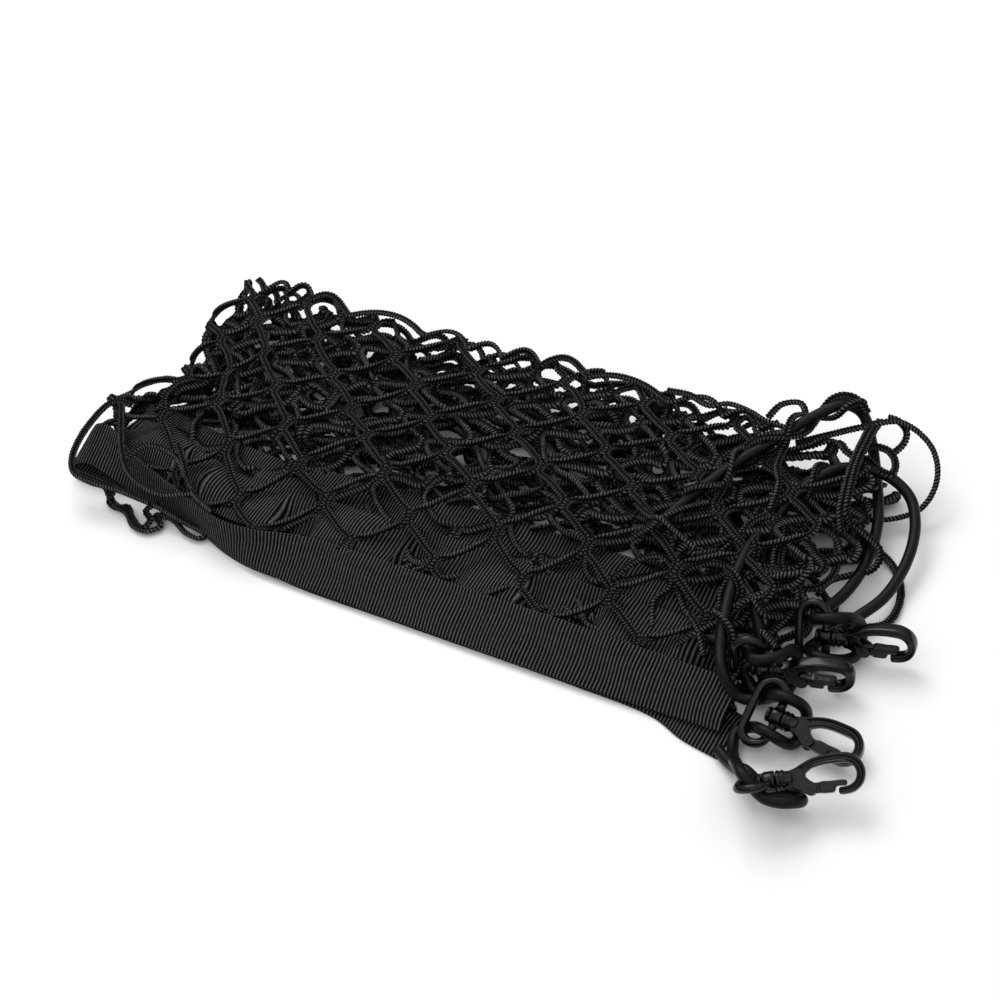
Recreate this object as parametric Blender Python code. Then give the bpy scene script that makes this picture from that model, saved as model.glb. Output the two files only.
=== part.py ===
"""Folded cargo net: a knotless nylon net with webbing bindings, elastic side cords and four snap hooks.

The net lies folded in four across its width and then once in half along its length, so eight
layers rest on the surface, with the half fold at -X and the corners with their hooks at +X.
Frame: +X along the pack towards the hooks, +Y to its rear edge, +Z up; the origin is on the
surface under the middle of the pack. All dimensions below are in millimetres.
"""

import math

import bmesh
import bpy
from mathutils import Matrix, Vector

MM = 0.001

# Net panel: a serpentine of four runs, folded in half
LAYER = 2.4                    # thickness that one layer of crossing cords fills
PITCH = 4.0                    # height from one layer to the next
FOLD_HEIGHT = 15.2             # height of the half fold's middle plane
RUN_LEVELS = (14.0, 10.0, 6.0, 2.0)   # height of each run over the fold's middle plane
REAR_TURN_OUTER = 72.8         # Y where the first and second run turn
REAR_TURN_INNER = 70.0         # Y where the third and fourth run turn
FRONT_TURN_UPPER = -8.0        # Y of the turn at the front, upper half
FRONT_TURN_LOWER = -46.0       # the same, lower half
STATIONS = (163, 120, 75, 30, -5, -35, -60, -78, -100, -122, -150, -175)   # X of the sections
RUN_STEPS = 6
TURN_STEPS = 3
FOLD_STEPS = 5

# How the pack is squeezed along its front: heights that full-height levels settle to
LEVELS_FULL = (0.0, 18.4, 28.0, 30.4, 40.0)
LEVELS_FRONT = (0.0, 12.0, 13.2, 15.0, 24.6)
SQUEEZE_START_Y = -10.0
SQUEEZE_END_Y = -57.0
LEFT_PULL = 26.0               # how far the half fold is drawn in behind its front corner
LEFT_RETURN = 0.5              # share of that which it wins back towards the rear
EDGE_WAVE = 1.8                # unevenness of the rear turns
TOP_WAVE = 0.04                # unevenness of the height, as a share

# Arches of net cord that stand out past the right end (largest gaps): x, y, z
ARCH_RADIUS = 2.0
REAR_ARCH = (
    (158, 67, 27), (172, 75, 30), (186, 81, 34), (199, 90, 33), (214, 88, 25), (221, 78, 17),
    (219, 66, 9.5), (209, 57, 7), (190, 50, 7), (172, 47, 7), (158, 46, 6.5),
)
FLOOR_ARCH = (
    (158, 41, 6), (178, 43, 4.5), (200, 43, 2.6), (218, 36, 2.3), (230, 20, 2.3), (231, 4, 2.3),
    (222, -2, 2.3), (205, -4, 2.3), (184, -4, 3), (168, -3, 5), (158, -3, 6),
)

# Webbing: 25 mm tape, given by the places of its two edges along its length
TAPE_THICK = 1.3
# Outer binding, upper half: x, rear edge y and z, front edge y and z
OUTER_TOP = (
    (190, -57.5, 15.2, -77.0, 3.6), (160, -57.5, 15.0, -77.5, 2.9), (120, -57.0, 15.0, -78.2, 2.6),
    (30, -57.5, 15.0, -78.2, 2.5), (-35, -60.0, 16.0, -78.2, 2.5), (-60, -68.0, 19.0, -77.5, 2.5),
    (-78, -69.5, 20.0, -73.5, 1.4), (-100, -63.5, 19.5, -66.5, 1.6), (-122, -57.5, 19.0, -62.0, 2.4),
    (-150, -49.0, 20.0, -59.0, 4.6), (-175, -38.0, 21.5, -57.5, 11.6),
)
# Outer binding, lower half: x, rear edge y, front edge y; it lies flat on the surface
OUTER_LOW = (
    (-175, -38.0, -61.5), (-150, -36.5, -57.5), (-122, -38.5, -59.5), (-100, -42.0, -63.5),
    (-78, -47.5, -69.5), (-60, -50.0, -74.0), (-35, -52.6, -77.4), (30, -52.8, -77.6),
    (120, -52.8, -77.6), (163, -54.4, -79.2), (180, -60.0, -84.8), (194, -63.0, -87.0),
)
OUTER_LOW_Z = 0.66
OUTER_FOLD_REACH = 13.0
# Inner binding: x, rear edge y; it follows the fourth run of each half
INNER_TOP = (
    (181, -34.0), (120, -33.8), (30, -33.2), (-35, -34.5), (-78, -37.0), (-100, -34.5),
    (-122, -29.5), (-150, -21.5), (-175, -14.0),
)
INNER_LOW = (
    (-175, -11.0), (-150, -12.5), (-122, -15.5), (-78, -19.0), (-35, -16.0), (30, -12.6),
    (120, -12.0), (176, -12.0),
)
TAPE_WIDTH = 24.8
SEAM_GAP = 0.8                 # from a run's front end to the tape sewn along it

# Snap hook, along its own axis from the middle of the eye (u), across the frame (v), its thickness (w)
EYE_BAR = 1.9                  # radius of the eye's bar
EYE_HALF = 8.0                 # half the straight part of the oblong eye
EYE_BEND = 5.8                 # radius of its round ends
BOSS = (4.2, 3.6, 8.6)         # radius, from u, to u
BORE = 2.3
POST = (2.0, 1.6, 9.6)
POST_HEAD = (3.3, 1.4, 3.2)
COLLAR = (4.2, 8.9, 11.0)
BARREL = (3.5, 10.6, 15.6)
FRAME_HALF_THICK = 2.8
FRAME_CHAMFER = 0.7
NOSE_CENTRE = 36.1
NOSE_OUTER = 8.2
NOSE_INNER = 4.6
PIVOT = (22.0, -4.5)
KNUCKLE = 2.2
EAR = 2.7
FORK_HALF = 1.8
GATE_HALF_THICK = 2.3
KNUCKLE_HALF_THICK = 1.5
PIN = 0.9
GATE_BORE = 1.25

# Hooks: name, middle of the eye, a point that the nose points to, lean of the eye's wide axis and
# of the frame's back bar over the horizontal, in degrees
HOOKS = (
    ("hook_a", (226.0, -102.1, 15.0), (265.8, -79.2, 17.2), -44.0, 34.0),
    ("hook_b", (211.2, -66.4, 12.6), (255.3, -66.5, 7.2), 24.0, 18.0),
    ("hook_c", (195.4, -50.0, 15.8), (236.4, -34.4, 11.4), 75.0, 90.0),
    ("hook_d", (210.2, -21.2, 12.2), (253.2, -11.2, 14.0), 49.0, 78.0),
)

# Elastic cord: 5 mm. Stretches are chosen by hand; those round a hook are in that hook's own
# directions: along its axis, along the eye's wide axis, along the eye's normal
CORD_RADIUS = 2.5
CORD_SPAN = 20.0               # longest step between the tube's rings
CORD_TURN = 26.0               # most that it bends between two rings, degrees
WRAP = (
    (-3.2, 6.8, -5.0), (0.0, 7.2, 0.0), (3.2, 7.8, 5.0), (9.0, 8.6, 5.4), (14.5, 8.9, 1.5),
    (17.8, 7.0, -5.9), (18.6, 0.0, -9.2), (17.8, -7.0, -5.9), (14.5, -8.9, 1.5), (9.0, -8.6, 5.4),
    (3.2, -7.8, 5.0), (0.0, -7.2, 0.0), (-3.2, -6.8, -5.0),
)
LOW_WRAP_B = (
    (-3.2, 6.3, -5.0), (0.0, 7.0, 0.0), (3.2, 7.8, 5.0), (9.0, 8.4, 5.0), (13.6, 8.6, 1.0),
    (15.5, 6.6, -5.0), (15.9, 0.0, -7.8), (15.5, -6.6, -5.0), (13.6, -8.6, 1.0), (9.0, -8.4, 5.0),
    (3.2, -7.8, 5.0), (0.0, -7.2, 0.0), (-3.2, -6.8, -5.0),
)
UNDER_A = (
    (-3.2, -6.8, 4.7), (0.0, -7.2, 0.0), (3.4, -7.8, -4.9), (10.0, -7.8, -7.6), (15.5, -5.8, -8.4),
    (18.3, 0.0, -9.0), (15.5, 5.0, -7.0), (10.0, 7.0, -5.4), (3.4, 7.8, -4.6), (0.0, 7.2, 0.2),
    (-3.2, 6.8, 4.7),
)
SAG_C = (
    (-3.2, -6.4, -5.0), (0.0, -6.8, 0.0), (3.2, -8.0, 4.9), (9.0, -10.4, 4.6), (14.5, -11.4, 1.2),
    (18.2, -8.4, -5.4), (19.2, -0.5, -9.8), (17.8, 6.8, -5.9), (14.5, 9.0, 1.5), (9.0, 8.8, 5.4),
    (3.2, 7.8, 5.0), (0.2, 7.2, -0.4), (-2.4, 6.8, -6.0), (-5.6, 6.0, -9.0),
)
FRONT_START = (
    (168.5, 16, 24), (168.5, 5, 26), (170.5, -9, 27), (175, -27, 27), (179.5, -40, 26), (183.2, -50, 23.5),
    (189.3, -60, 20.5), (197.4, -62.3, 10.5),
)
FRONT_MIDDLE = ((201.5, -74.5, 5.0), (204, -82.5, 4.8), (210, -91, 9), (216, -98, 18.5))
FRONT_END = ((210.5, -92, 5.2), (204, -88.5, 3.3), (197.5, -84.5, 3.2))
SIDE_START = (
    (168.5, 22, 21), (171.5, 34, 25), (177, 48, 28), (185, 59, 28), (195, 65, 25), (205, 67, 21),
    (215, 63, 17), (221.5, 54, 13.5), (225.5, 42, 10.5), (227, 27, 8.2), (226, 12, 7.8), (221, -1, 7.8),
    (214.5, -11, 5.8),
)
SIDE_END = (
    (208, -9, 13.5), (211, 6, 10.5), (211.5, 22, 10), (209.5, 38, 11.5), (204.5, 53, 14), (197, 67, 18),
    (188.5, 81, 25), (181.5, 88, 34), (175, 84, 41), (165, 73, 40), (154.5, 58, 36.5), (145, 43, 34.6),
    (139, 29, 34), (134, 13, 33.8), (130, -3, 33.6),
)
INNER_START = ((184, -22, 22.5), (190, -30, 17), (193, -38.5, 9))
INNER_END = ((182, -42.5, 18.4), (176, -43, 17.2), (169, -43.5, 17))

COLOURS = {                    # linear colour, roughness
    "net": ((0.012, 0.012, 0.013, 1.0), 0.75),
    "tape": ((0.018, 0.018, 0.019, 1.0), 0.7),
    "cord": ((0.014, 0.014, 0.015, 1.0), 0.5),
    "hook": ((0.010, 0.010, 0.011, 1.0), 0.35),
}


def clear_scene():
    for item in list(bpy.data.objects):
        bpy.data.objects.remove(item)


def material(name):
    """One plain Principled material for each kind of piece, made once."""
    found = bpy.data.materials.get(name)
    if found:
        return found
    made = bpy.data.materials.new(name)
    made.use_nodes = True
    shader = made.node_tree.nodes["Principled BSDF"]
    colour, roughness = COLOURS[name]
    shader.inputs["Base Color"].default_value = colour
    shader.inputs["Roughness"].default_value = roughness
    shader.inputs["Metallic"].default_value = 0.0
    return made


def add_object(name, mesh, slot):
    item = bpy.data.objects.new(name, mesh)
    bpy.context.collection.objects.link(item)
    mesh.materials.clear()
    mesh.materials.append(material(slot))
    mesh.shade_smooth()
    mesh.set_sharp_from_angle(angle=math.radians(40))
    return item


def mesh_from(name, points, faces):
    """A mesh from points in millimetres."""
    mesh = bpy.data.meshes.new(name)
    mesh.from_pydata([tuple(c * MM for c in p) for p in points], [], faces)
    mesh.update()
    return mesh


def smoothstep(t):
    t = min(1.0, max(0.0, t))
    return t * t * (3.0 - 2.0 * t)


def between(table, x, column):
    """Linear reading of one column of a table whose rows run along x either way."""
    rows = sorted(table)
    if x <= rows[0][0]:
        return rows[0][column]
    for low, high in zip(rows, rows[1:]):
        if x <= high[0]:
            t = (x - low[0]) / (high[0] - low[0])
            return low[column] + (high[column] - low[column]) * t
    return rows[-1][column]


def squeezed(y, level):
    """Height of a full-height level at y, where the pack is pressed flat along its front."""
    pairs = list(zip(LEVELS_FULL, LEVELS_FRONT))
    front = pairs[-1][1]
    for (low, low_front), (high, high_front) in zip(pairs, pairs[1:]):
        if level <= high:
            front = low_front + (high_front - low_front) * (level - low) / (high - low)
            break
    share = smoothstep((SQUEEZE_START_Y - y) / (SQUEEZE_START_Y - SQUEEZE_END_Y))
    return level + (front - level) * share


def settled(x, y, level):
    """Where a point of the neat fold lies in the real, uneven one."""
    z = squeezed(y, level)
    wave = 1.0 + TOP_WAVE * math.sin(x / 41.0 + 0.6) * math.cos(y / 29.0)
    rear = smoothstep((y - 20.0) / 50.0)
    drift = math.sin(x / 31.0) + 0.7 * math.sin(x / 13.0 + level / 6.0)
    pull = smoothstep((y + 25.0) / 30.0) * (1.0 - LEFT_RETURN * smoothstep((y - 14.0) / 34.0))
    return (x + LEFT_PULL * pull * smoothstep((-110.0 - x) / 65.0), y + EDGE_WAVE * rear * drift, z * wave)


def layer_ends(x, upper):
    """Y of the front end of the first and of the fourth run, next to the tapes sewn there."""
    outer = between(OUTER_TOP if upper else OUTER_LOW, x, 1)
    inner = between(INNER_TOP if upper else INNER_LOW, x, 1)
    return outer + SEAM_GAP, inner + SEAM_GAP


def serpentine(first_end, last_end, front_turn):
    """Centre line of the four runs in (y, height), from the first front end to the last."""
    top, second, third, last = RUN_LEVELS
    radius = PITCH / 2.0
    line = []

    def run(y_from, y_to, height):
        line.extend((y_from + (y_to - y_from) * i / RUN_STEPS, height) for i in range(RUN_STEPS + 1))

    def turn(y, height, way):
        for i in range(1, TURN_STEPS):
            angle = math.pi * i / TURN_STEPS
            line.append((y + way * radius * math.sin(angle), height + radius * math.cos(angle)))

    run(first_end, REAR_TURN_OUTER, top)
    turn(REAR_TURN_OUTER, (top + second) / 2, 1)
    run(REAR_TURN_OUTER, front_turn, second)
    turn(front_turn, (second + third) / 2, -1)
    run(front_turn, REAR_TURN_INNER, third)
    turn(REAR_TURN_INNER, (third + last) / 2, 1)
    run(REAR_TURN_INNER, last_end, last)
    return line


def offset_line(line, distance):
    """The line moved sideways by a distance, at each point along the mean normal there."""
    moved = []
    for i, (y, n) in enumerate(line):
        before = line[max(i - 1, 0)]
        after = line[min(i + 1, len(line) - 1)]
        along = (after[0] - before[0], after[1] - before[1])
        size = math.hypot(*along)
        moved.append((y - along[1] / size * distance, n + along[0] / size * distance))
    return moved


def net_stations():
    """Stations along the folded length: x, angle round the half fold (0 upper, pi lower)."""
    upper = [(x, 0.0) for x in STATIONS]
    fold = [(STATIONS[-1], math.pi * i / FOLD_STEPS) for i in range(1, FOLD_STEPS)]
    lower = [(x, math.pi) for x in reversed(STATIONS)]
    return upper + fold + lower


def build_net():
    """Sweeps the serpentine along the pack, round the half fold and back, as one closed solid."""
    rings = []
    for x, angle in net_stations():
        share = (1.0 - math.cos(angle)) / 2.0
        upper_ends = layer_ends(x, True)
        lower_ends = layer_ends(x, False)
        ends = [u + (w - u) * share for u, w in zip(upper_ends, lower_ends)]
        front_turn = FRONT_TURN_UPPER + (FRONT_TURN_LOWER - FRONT_TURN_UPPER) * share
        line = serpentine(ends[0], ends[1], front_turn)
        sides = offset_line(line, LAYER / 2.0) + offset_line(line, -LAYER / 2.0)
        rings.append([
            settled(x - n * math.sin(angle), y, FOLD_HEIGHT + n * math.cos(angle)) for y, n in sides
        ])
    count = len(rings[0]) // 2
    points = [p for ring in rings for p in ring]
    faces = []
    for s in range(len(rings) - 1):
        a, b = s * 2 * count, (s + 1) * 2 * count
        for i in range(count - 1):
            faces.append((a + i, b + i, b + i + 1, a + i + 1))
            faces.append((a + count + i, a + count + i + 1, b + count + i + 1, b + count + i))
        faces.append((a, a + count, b + count, b))
        last = count - 1
        faces.append((a + last, b + last, b + count + last, a + count + last))
    for base, flip in ((0, False), ((len(rings) - 1) * 2 * count, True)):
        for i in range(count - 1):
            cap = (base + i, base + i + 1, base + count + i + 1, base + count + i)
            faces.append(tuple(reversed(cap)) if flip else cap)
    panel = mesh_from("net_panel", points, faces)
    arches = [tube_mesh("arch", REAR_ARCH, ARCH_RADIUS), tube_mesh("arch", FLOOR_ARCH, ARCH_RADIUS)]
    return add_object("net_panel", combined(panel, arches, "UNION"), "net")


def outward(mesh):
    """Turns every face of a closed mesh outwards."""
    work = bmesh.new()
    work.from_mesh(mesh)
    bmesh.ops.recalc_face_normals(work, faces=work.faces)
    work.to_mesh(mesh)
    work.free()
    mesh.update()
    return mesh


def combined(base, others, operation):
    """Base joined with, or cut by, the other closed meshes, as one new mesh."""
    body = bpy.data.objects.new("body", outward(base))
    bpy.context.collection.objects.link(body)
    tools = []
    for other in others:
        tool = bpy.data.objects.new("tool", outward(other))
        bpy.context.collection.objects.link(tool)
        step = body.modifiers.new("join", "BOOLEAN")
        step.operation = operation
        step.solver = "EXACT"
        step.object = tool
        tools.append(tool)
    bpy.context.view_layer.update()
    graph = bpy.context.evaluated_depsgraph_get()
    result = bpy.data.meshes.new_from_object(body.evaluated_get(graph))
    for item in [body] + tools:
        bpy.data.objects.remove(item)
    return result


def smooth_path(points, span, turn):
    """Points on a Catmull-Rom curve through the given ones, a step where it has run or bent enough."""
    route = [Vector(p) for p in points]
    ends = [route[0] * 2 - route[1]] + route + [route[-1] * 2 - route[-2]]
    fine = []
    for p0, p1, p2, p3 in zip(ends, ends[1:], ends[2:], ends[3:]):
        k1 = max((p1 - p0).length, 1e-6) ** 0.5
        k2 = max((p2 - p1).length, 1e-6) ** 0.5
        k3 = max((p3 - p2).length, 1e-6) ** 0.5
        m1 = (p2 - p1) + k2 * ((p1 - p0) / k1 - (p2 - p0) / (k1 + k2))
        m2 = (p2 - p1) + k2 * ((p3 - p2) / k3 - (p3 - p1) / (k2 + k3))
        for i in range(12):
            t = i / 12.0
            h = (2 * t ** 3 - 3 * t ** 2 + 1, t ** 3 - 2 * t ** 2 + t, 3 * t ** 2 - 2 * t ** 3, t ** 3 - t ** 2)
            fine.append(p1 * h[0] + m1 * h[1] + p2 * h[2] + m2 * h[3])
    fine.append(route[-1])
    kept = [fine[0]]
    heading = (fine[1] - fine[0]).normalized()
    for before, here, after in zip(fine, fine[1:], fine[2:]):
        way = (after - here).normalized()
        bent = math.degrees(heading.angle(way, 0.0))
        if (here - kept[-1]).length >= span or bent >= turn:
            kept.append(here)
            heading = way
    kept.append(fine[-1])
    return kept


def tube_mesh(name, points, radius):
    """A six-sided tube along a smooth path, with closed ends."""
    path = smooth_path(points, 9.0, 30.0)
    sides = 6
    rings, faces = [], []
    normal = Vector((0.0, 0.0, 1.0))
    for i, here in enumerate(path):
        along = (path[min(i + 1, len(path) - 1)] - path[max(i - 1, 0)]).normalized()
        normal = (normal - along * normal.dot(along)).normalized()
        side = along.cross(normal)
        for k in range(sides):
            angle = 2 * math.pi * k / sides
            rings.append(here + (normal * math.cos(angle) + side * math.sin(angle)) * radius)
    for i in range(len(path) - 1):
        for k in range(sides):
            a, b = i * sides + k, i * sides + (k + 1) % sides
            faces.append((a, b, b + sides, a + sides))
    faces.append(tuple(range(sides)))
    faces.append(tuple(reversed(range(len(rings) - sides, len(rings)))))
    return outward(mesh_from(name, rings, faces))


def tape_mesh(name, rows):
    """A closed strip of webbing; each row holds its rear edge and its front edge."""
    across = 4
    grid = []
    for rear, front in rows:
        rear, front = Vector(rear), Vector(front)
        grid.append([rear.lerp(front, i / across) for i in range(across + 1)])
    points = []
    for sign in (1.0, -1.0):
        for r, row in enumerate(grid):
            for i, here in enumerate(row):
                down = grid[min(r + 1, len(grid) - 1)][i] - grid[max(r - 1, 0)][i]
                over = row[min(i + 1, across)] - row[max(i - 1, 0)]
                normal = down.cross(over).normalized()
                points.append(here + normal * (sign * TAPE_THICK / 2.0))
    wide = across + 1
    layer = len(grid) * wide
    faces = []
    for r in range(len(grid) - 1):
        for i in range(across):
            a = r * wide + i
            quad = (a, a + 1, a + 1 + wide, a + wide)
            faces.append(quad)
            faces.append(tuple(layer + k for k in reversed(quad)))
        for i in (0, across):
            a = r * wide + i
            faces.append((a, a + wide, layer + a + wide, layer + a))
    for r in (0, len(grid) - 1):
        for i in range(across):
            a = r * wide + i
            faces.append((a, a + 1, layer + a + 1, layer + a))
    return outward(mesh_from(name, points, faces))


def outer_rows():
    """Edges of the outer binding: along the top front, round the half fold, along the surface."""
    top = [((x, ry, rz), (x, fy, fz)) for x, ry, rz, fy, fz in OUTER_TOP]
    low = [((x, ry, OUTER_LOW_Z), (x, fy, OUTER_LOW_Z)) for x, ry, fy in OUTER_LOW]
    fold = []
    for i in range(1, 6):
        angle = math.pi * i / 6
        share = (1.0 - math.cos(angle)) / 2.0
        edges = []
        for upper, lower in zip(top[-1], low[0]):
            edge = Vector(upper).lerp(Vector(lower), share)
            edge.x -= OUTER_FOLD_REACH * math.sin(angle)
            edges.append(edge)
        fold.append(tuple(edges))
    return top + fold + low


def inner_rows():
    """Edges of the inner binding, which follows the fourth run through the half fold."""
    level = RUN_LEVELS[3]
    stations = [(x, y, 0.0) for x, y in INNER_TOP]
    for i in range(1, 4):
        angle = math.pi * i / 4
        share = (1.0 - math.cos(angle)) / 2.0
        y = INNER_TOP[-1][1] + (INNER_LOW[0][1] - INNER_TOP[-1][1]) * share
        stations.append((INNER_TOP[-1][0], y, angle))
    stations += [(x, y, math.pi) for x, y in INNER_LOW]
    rows = []
    for x, y, angle in stations:
        x_here = x - level * math.sin(angle)
        height = FOLD_HEIGHT + level * math.cos(angle)
        rows.append((settled(x_here, y, height), settled(x_here, y - TAPE_WIDTH, height)))
    return rows


def hook_directions(eye, towards, lean):
    """Unit vectors of a hook: its axis, the direction leaned over the horizontal, and their normal."""
    along = (Vector(towards) - Vector(eye)).normalized()
    level = Vector((0.0, 0.0, 1.0)).cross(along).normalized()
    upward = along.cross(level)
    angle = math.radians(lean)
    wide = level * math.cos(angle) + upward * math.sin(angle)
    return along, wide, along.cross(wide)


def placing(eye, towards, lean):
    """Matrix from a hook's own (u, v, w) in millimetres to the world in metres."""
    along, wide, normal = hook_directions(eye, towards, lean)
    turn = Matrix((along, wide, normal)).transposed().to_4x4()
    return Matrix.Translation(Vector(eye) * MM) @ turn


def disc_stack(sections, sides=16):
    """A turned piece on the hook's axis from (radius, u) sections, closed at both ends."""
    points, faces = [], []
    for radius, u in sections:
        for k in range(sides):
            angle = 2 * math.pi * k / sides
            points.append((u, radius * math.cos(angle), radius * math.sin(angle)))
    for i in range(len(sections) - 1):
        for k in range(sides):
            a, b = i * sides + k, i * sides + (k + 1) % sides
            faces.append((a, b, b + sides, a + sides))
    faces.append(tuple(range(sides)))
    faces.append(tuple(range(len(points) - sides, len(points))))
    return outward(mesh_from("turned", points, faces))


def plate(outline, half, chamfer=0.0):
    """An outline in (u, v) given a thickness of twice half along w, its rims chamfered."""
    work = bmesh.new()
    corners = [work.verts.new((u * MM, v * MM, -half * MM)) for u, v in outline]
    floor = work.faces.new(corners)
    made = bmesh.ops.extrude_face_region(work, geom=[floor])
    top = [v for v in made["geom"] if isinstance(v, bmesh.types.BMVert)]
    bmesh.ops.translate(work, verts=top, vec=(0.0, 0.0, 2 * half * MM))
    if chamfer:
        rims = [e for e in work.edges if abs(e.verts[0].co.z - e.verts[1].co.z) < 1e-7]
        bmesh.ops.bevel(work, geom=rims, offset=chamfer * MM, segments=1, affect="EDGES")
    bmesh.ops.recalc_face_normals(work, faces=work.faces)
    mesh = bpy.data.meshes.new("plate")
    work.to_mesh(mesh)
    work.free()
    return mesh


def cross_pin(centre, radius, half, sides=10):
    """A round pin along w at a point of the (u, v) plane."""
    outline = [
        (centre[0] + radius * math.cos(2 * math.pi * k / sides),
         centre[1] + radius * math.sin(2 * math.pi * k / sides)) for k in range(sides)
    ]
    return plate(outline, half)


def arc(centre, radius, start, end, steps):
    """Points on an arc, in degrees."""
    angles = [math.radians(start + (end - start) * i / steps) for i in range(steps + 1)]
    return [(centre[0] + radius * math.cos(a), centre[1] + radius * math.sin(a)) for a in angles]


def eye_mesh():
    """Oblong eye with a boss in its hook-side bar, bored for the hook's post."""
    centre_line = []
    for side in (1, -1):
        centre_line += [(EYE_BEND * math.cos(a), side * EYE_HALF + EYE_BEND * math.sin(a)) for a in (
            math.radians(90 - side * 90 + 180 * i / 6) for i in range(7))]
    points, faces, sides = [], [], 8
    count = len(centre_line)
    for i, (u, v) in enumerate(centre_line):
        nearest = max(-EYE_HALF, min(EYE_HALF, v))
        out = Vector((u, v - nearest)).normalized()
        for k in range(sides):
            angle = 2 * math.pi * (k + 0.5) / sides
            reach = EYE_BAR * math.cos(angle)
            points.append((u + out.x * reach, v + out.y * reach, EYE_BAR * math.sin(angle)))
    for i in range(count):
        for k in range(sides):
            a, b = i * sides, (i + 1) % count * sides
            faces.append((a + k, a + (k + 1) % sides, b + (k + 1) % sides, b + k))
    ring = mesh_from("ring", points, faces)
    radius, start, end = BOSS
    boss = disc_stack(((radius - 0.5, start), (radius, start + 0.5), (radius, end)))
    solid = combined(ring, [boss], "UNION")
    return combined(solid, [disc_stack(((BORE, start - 3), (BORE, end + 3)), 12)], "DIFFERENCE")


def frame_mesh():
    """Hook frame: post with its head, collar, barrel, back bar, nose, tip and the gate's fork."""
    nose = (NOSE_CENTRE, 0.0)
    inner = (NOSE_CENTRE, -0.4)
    outline = [(14.6, 3.0), (17.0, 4.2), (20.0, 5.8), (23.5, 7.2), (28.0, 8.1)]
    outline += arc(nose, NOSE_OUTER, 90, -90, 9)
    outline += [(33.0, -8.2), (32.2, -7.6), (32.2, -6.0), (32.8, -5.3)]
    outline += arc(inner, NOSE_INNER, -84, 90, 7)
    outline += [(27.0, 4.1), (23.0, 3.2), (21.0, 1.4), (20.8, -0.6), (22.0, -1.8)]
    outline += arc(PIVOT, EAR, 60, -120, 5)
    outline += [(17.6, -4.6), (14.6, -3.0)]
    body = plate(outline, FRAME_HALF_THICK, FRAME_CHAMFER)
    turned = disc_stack((
        (POST_HEAD[0], POST_HEAD[1]), (POST_HEAD[0], POST_HEAD[2]), (POST[0], POST_HEAD[2] + 0.01),
        (POST[0], COLLAR[1] - 0.01), (COLLAR[0], COLLAR[1]), (COLLAR[0], COLLAR[2]),
        (BARREL[0], COLLAR[2] + 0.01), (BARREL[0], BARREL[2]),
    ), 12)
    solid = combined(body, [turned], "UNION")
    fork = plate([(18.6, -9.5), (27.5, -9.5), (27.5, -1.4), (18.6, -1.4)], FORK_HALF)
    open_fork = combined(solid, [fork], "DIFFERENCE")
    return combined(open_fork, [cross_pin(PIVOT, PIN, FORK_HALF + 0.4)], "UNION")


def gate_mesh():
    """Gate: a lever with its knuckle on the pin and a tongue that rests inside the tip."""
    knuckle = arc(PIVOT, KNUCKLE, 100, 260, 6)
    lever = plate(
        knuckle + [(25.2, -6.7), (31.6, -6.7), (31.9, -4.9), (36.4, -4.6), (36.4, -2.9), (31.0, -2.4),
                   (25.2, -2.5)],
        KNUCKLE_HALF_THICK)
    cheek = plate(
        [(25.6, -6.9), (31.5, -6.9), (31.7, -4.85), (36.2, -4.55), (36.2, -3.0), (31.0, -2.5), (25.6, -2.6)],
        GATE_HALF_THICK, 0.3)
    solid = combined(lever, [cheek], "UNION")
    return combined(solid, [cross_pin(PIVOT, GATE_BORE, 4.0)], "DIFFERENCE")


def build_hooks():
    """Each hook: an eye held by the elastic, a frame that swivels in it, a gate on the frame's pin."""
    eye, frame, gate = eye_mesh(), frame_mesh(), gate_mesh()
    for name, centre, towards, eye_lean, frame_lean in HOOKS:
        item = add_object(name + "_eye", eye, "hook")
        item.matrix_world = placing(centre, towards, eye_lean)
        swivel = bpy.data.objects.new(name + "_swivel", None)
        bpy.context.collection.objects.link(swivel)
        swivel.matrix_world = placing(centre, towards, frame_lean)
        item = add_object(name + "_frame", frame, "hook")
        item.parent = swivel
        hinge = bpy.data.objects.new(name + "_hinge", None)
        bpy.context.collection.objects.link(hinge)
        hinge.parent = swivel
        pivot = Vector((PIVOT[0], PIVOT[1], 0.0)) * MM
        hinge.location = pivot
        item = add_object(name + "_gate", gate, "hook")
        item.parent = hinge
        item.location = -pivot


def round_hook(name, points):
    """Points given in a hook's own directions, in the world's."""
    for hook, centre, towards, lean, _ in HOOKS:
        if hook == name:
            along, wide, normal = hook_directions(centre, towards, lean)
            return [Vector(centre) + along * u + wide * e + normal * n for u, e, n in points]
    raise ValueError(name)


def build_cord(name, route):
    """One length of elastic as a curve with a round bevel and closed ends."""
    path = smooth_path(route, CORD_SPAN, CORD_TURN)
    curve = bpy.data.curves.new(name, "CURVE")
    curve.dimensions = "3D"
    curve.bevel_depth = CORD_RADIUS * MM
    curve.bevel_resolution = 2
    curve.use_fill_caps = True
    spline = curve.splines.new("POLY")
    spline.points.add(len(path) - 1)
    for point, place in zip(spline.points, path):
        point.co = (*(place * MM), 1.0)
    curve.materials.append(material("cord"))
    item = bpy.data.objects.new(name, curve)
    bpy.context.collection.objects.link(item)
    return item


def build_cords():
    front = list(FRONT_START) + round_hook("hook_b", LOW_WRAP_B) + list(FRONT_MIDDLE)
    build_cord("elastic_front", front + round_hook("hook_a", UNDER_A) + list(FRONT_END))
    side = list(SIDE_START) + round_hook("hook_d", WRAP[::-1]) + list(SIDE_END)
    build_cord("elastic_side", side)
    inner = list(INNER_START) + round_hook("hook_c", SAG_C) + list(INNER_END)
    build_cord("elastic_inner", inner)


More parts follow.
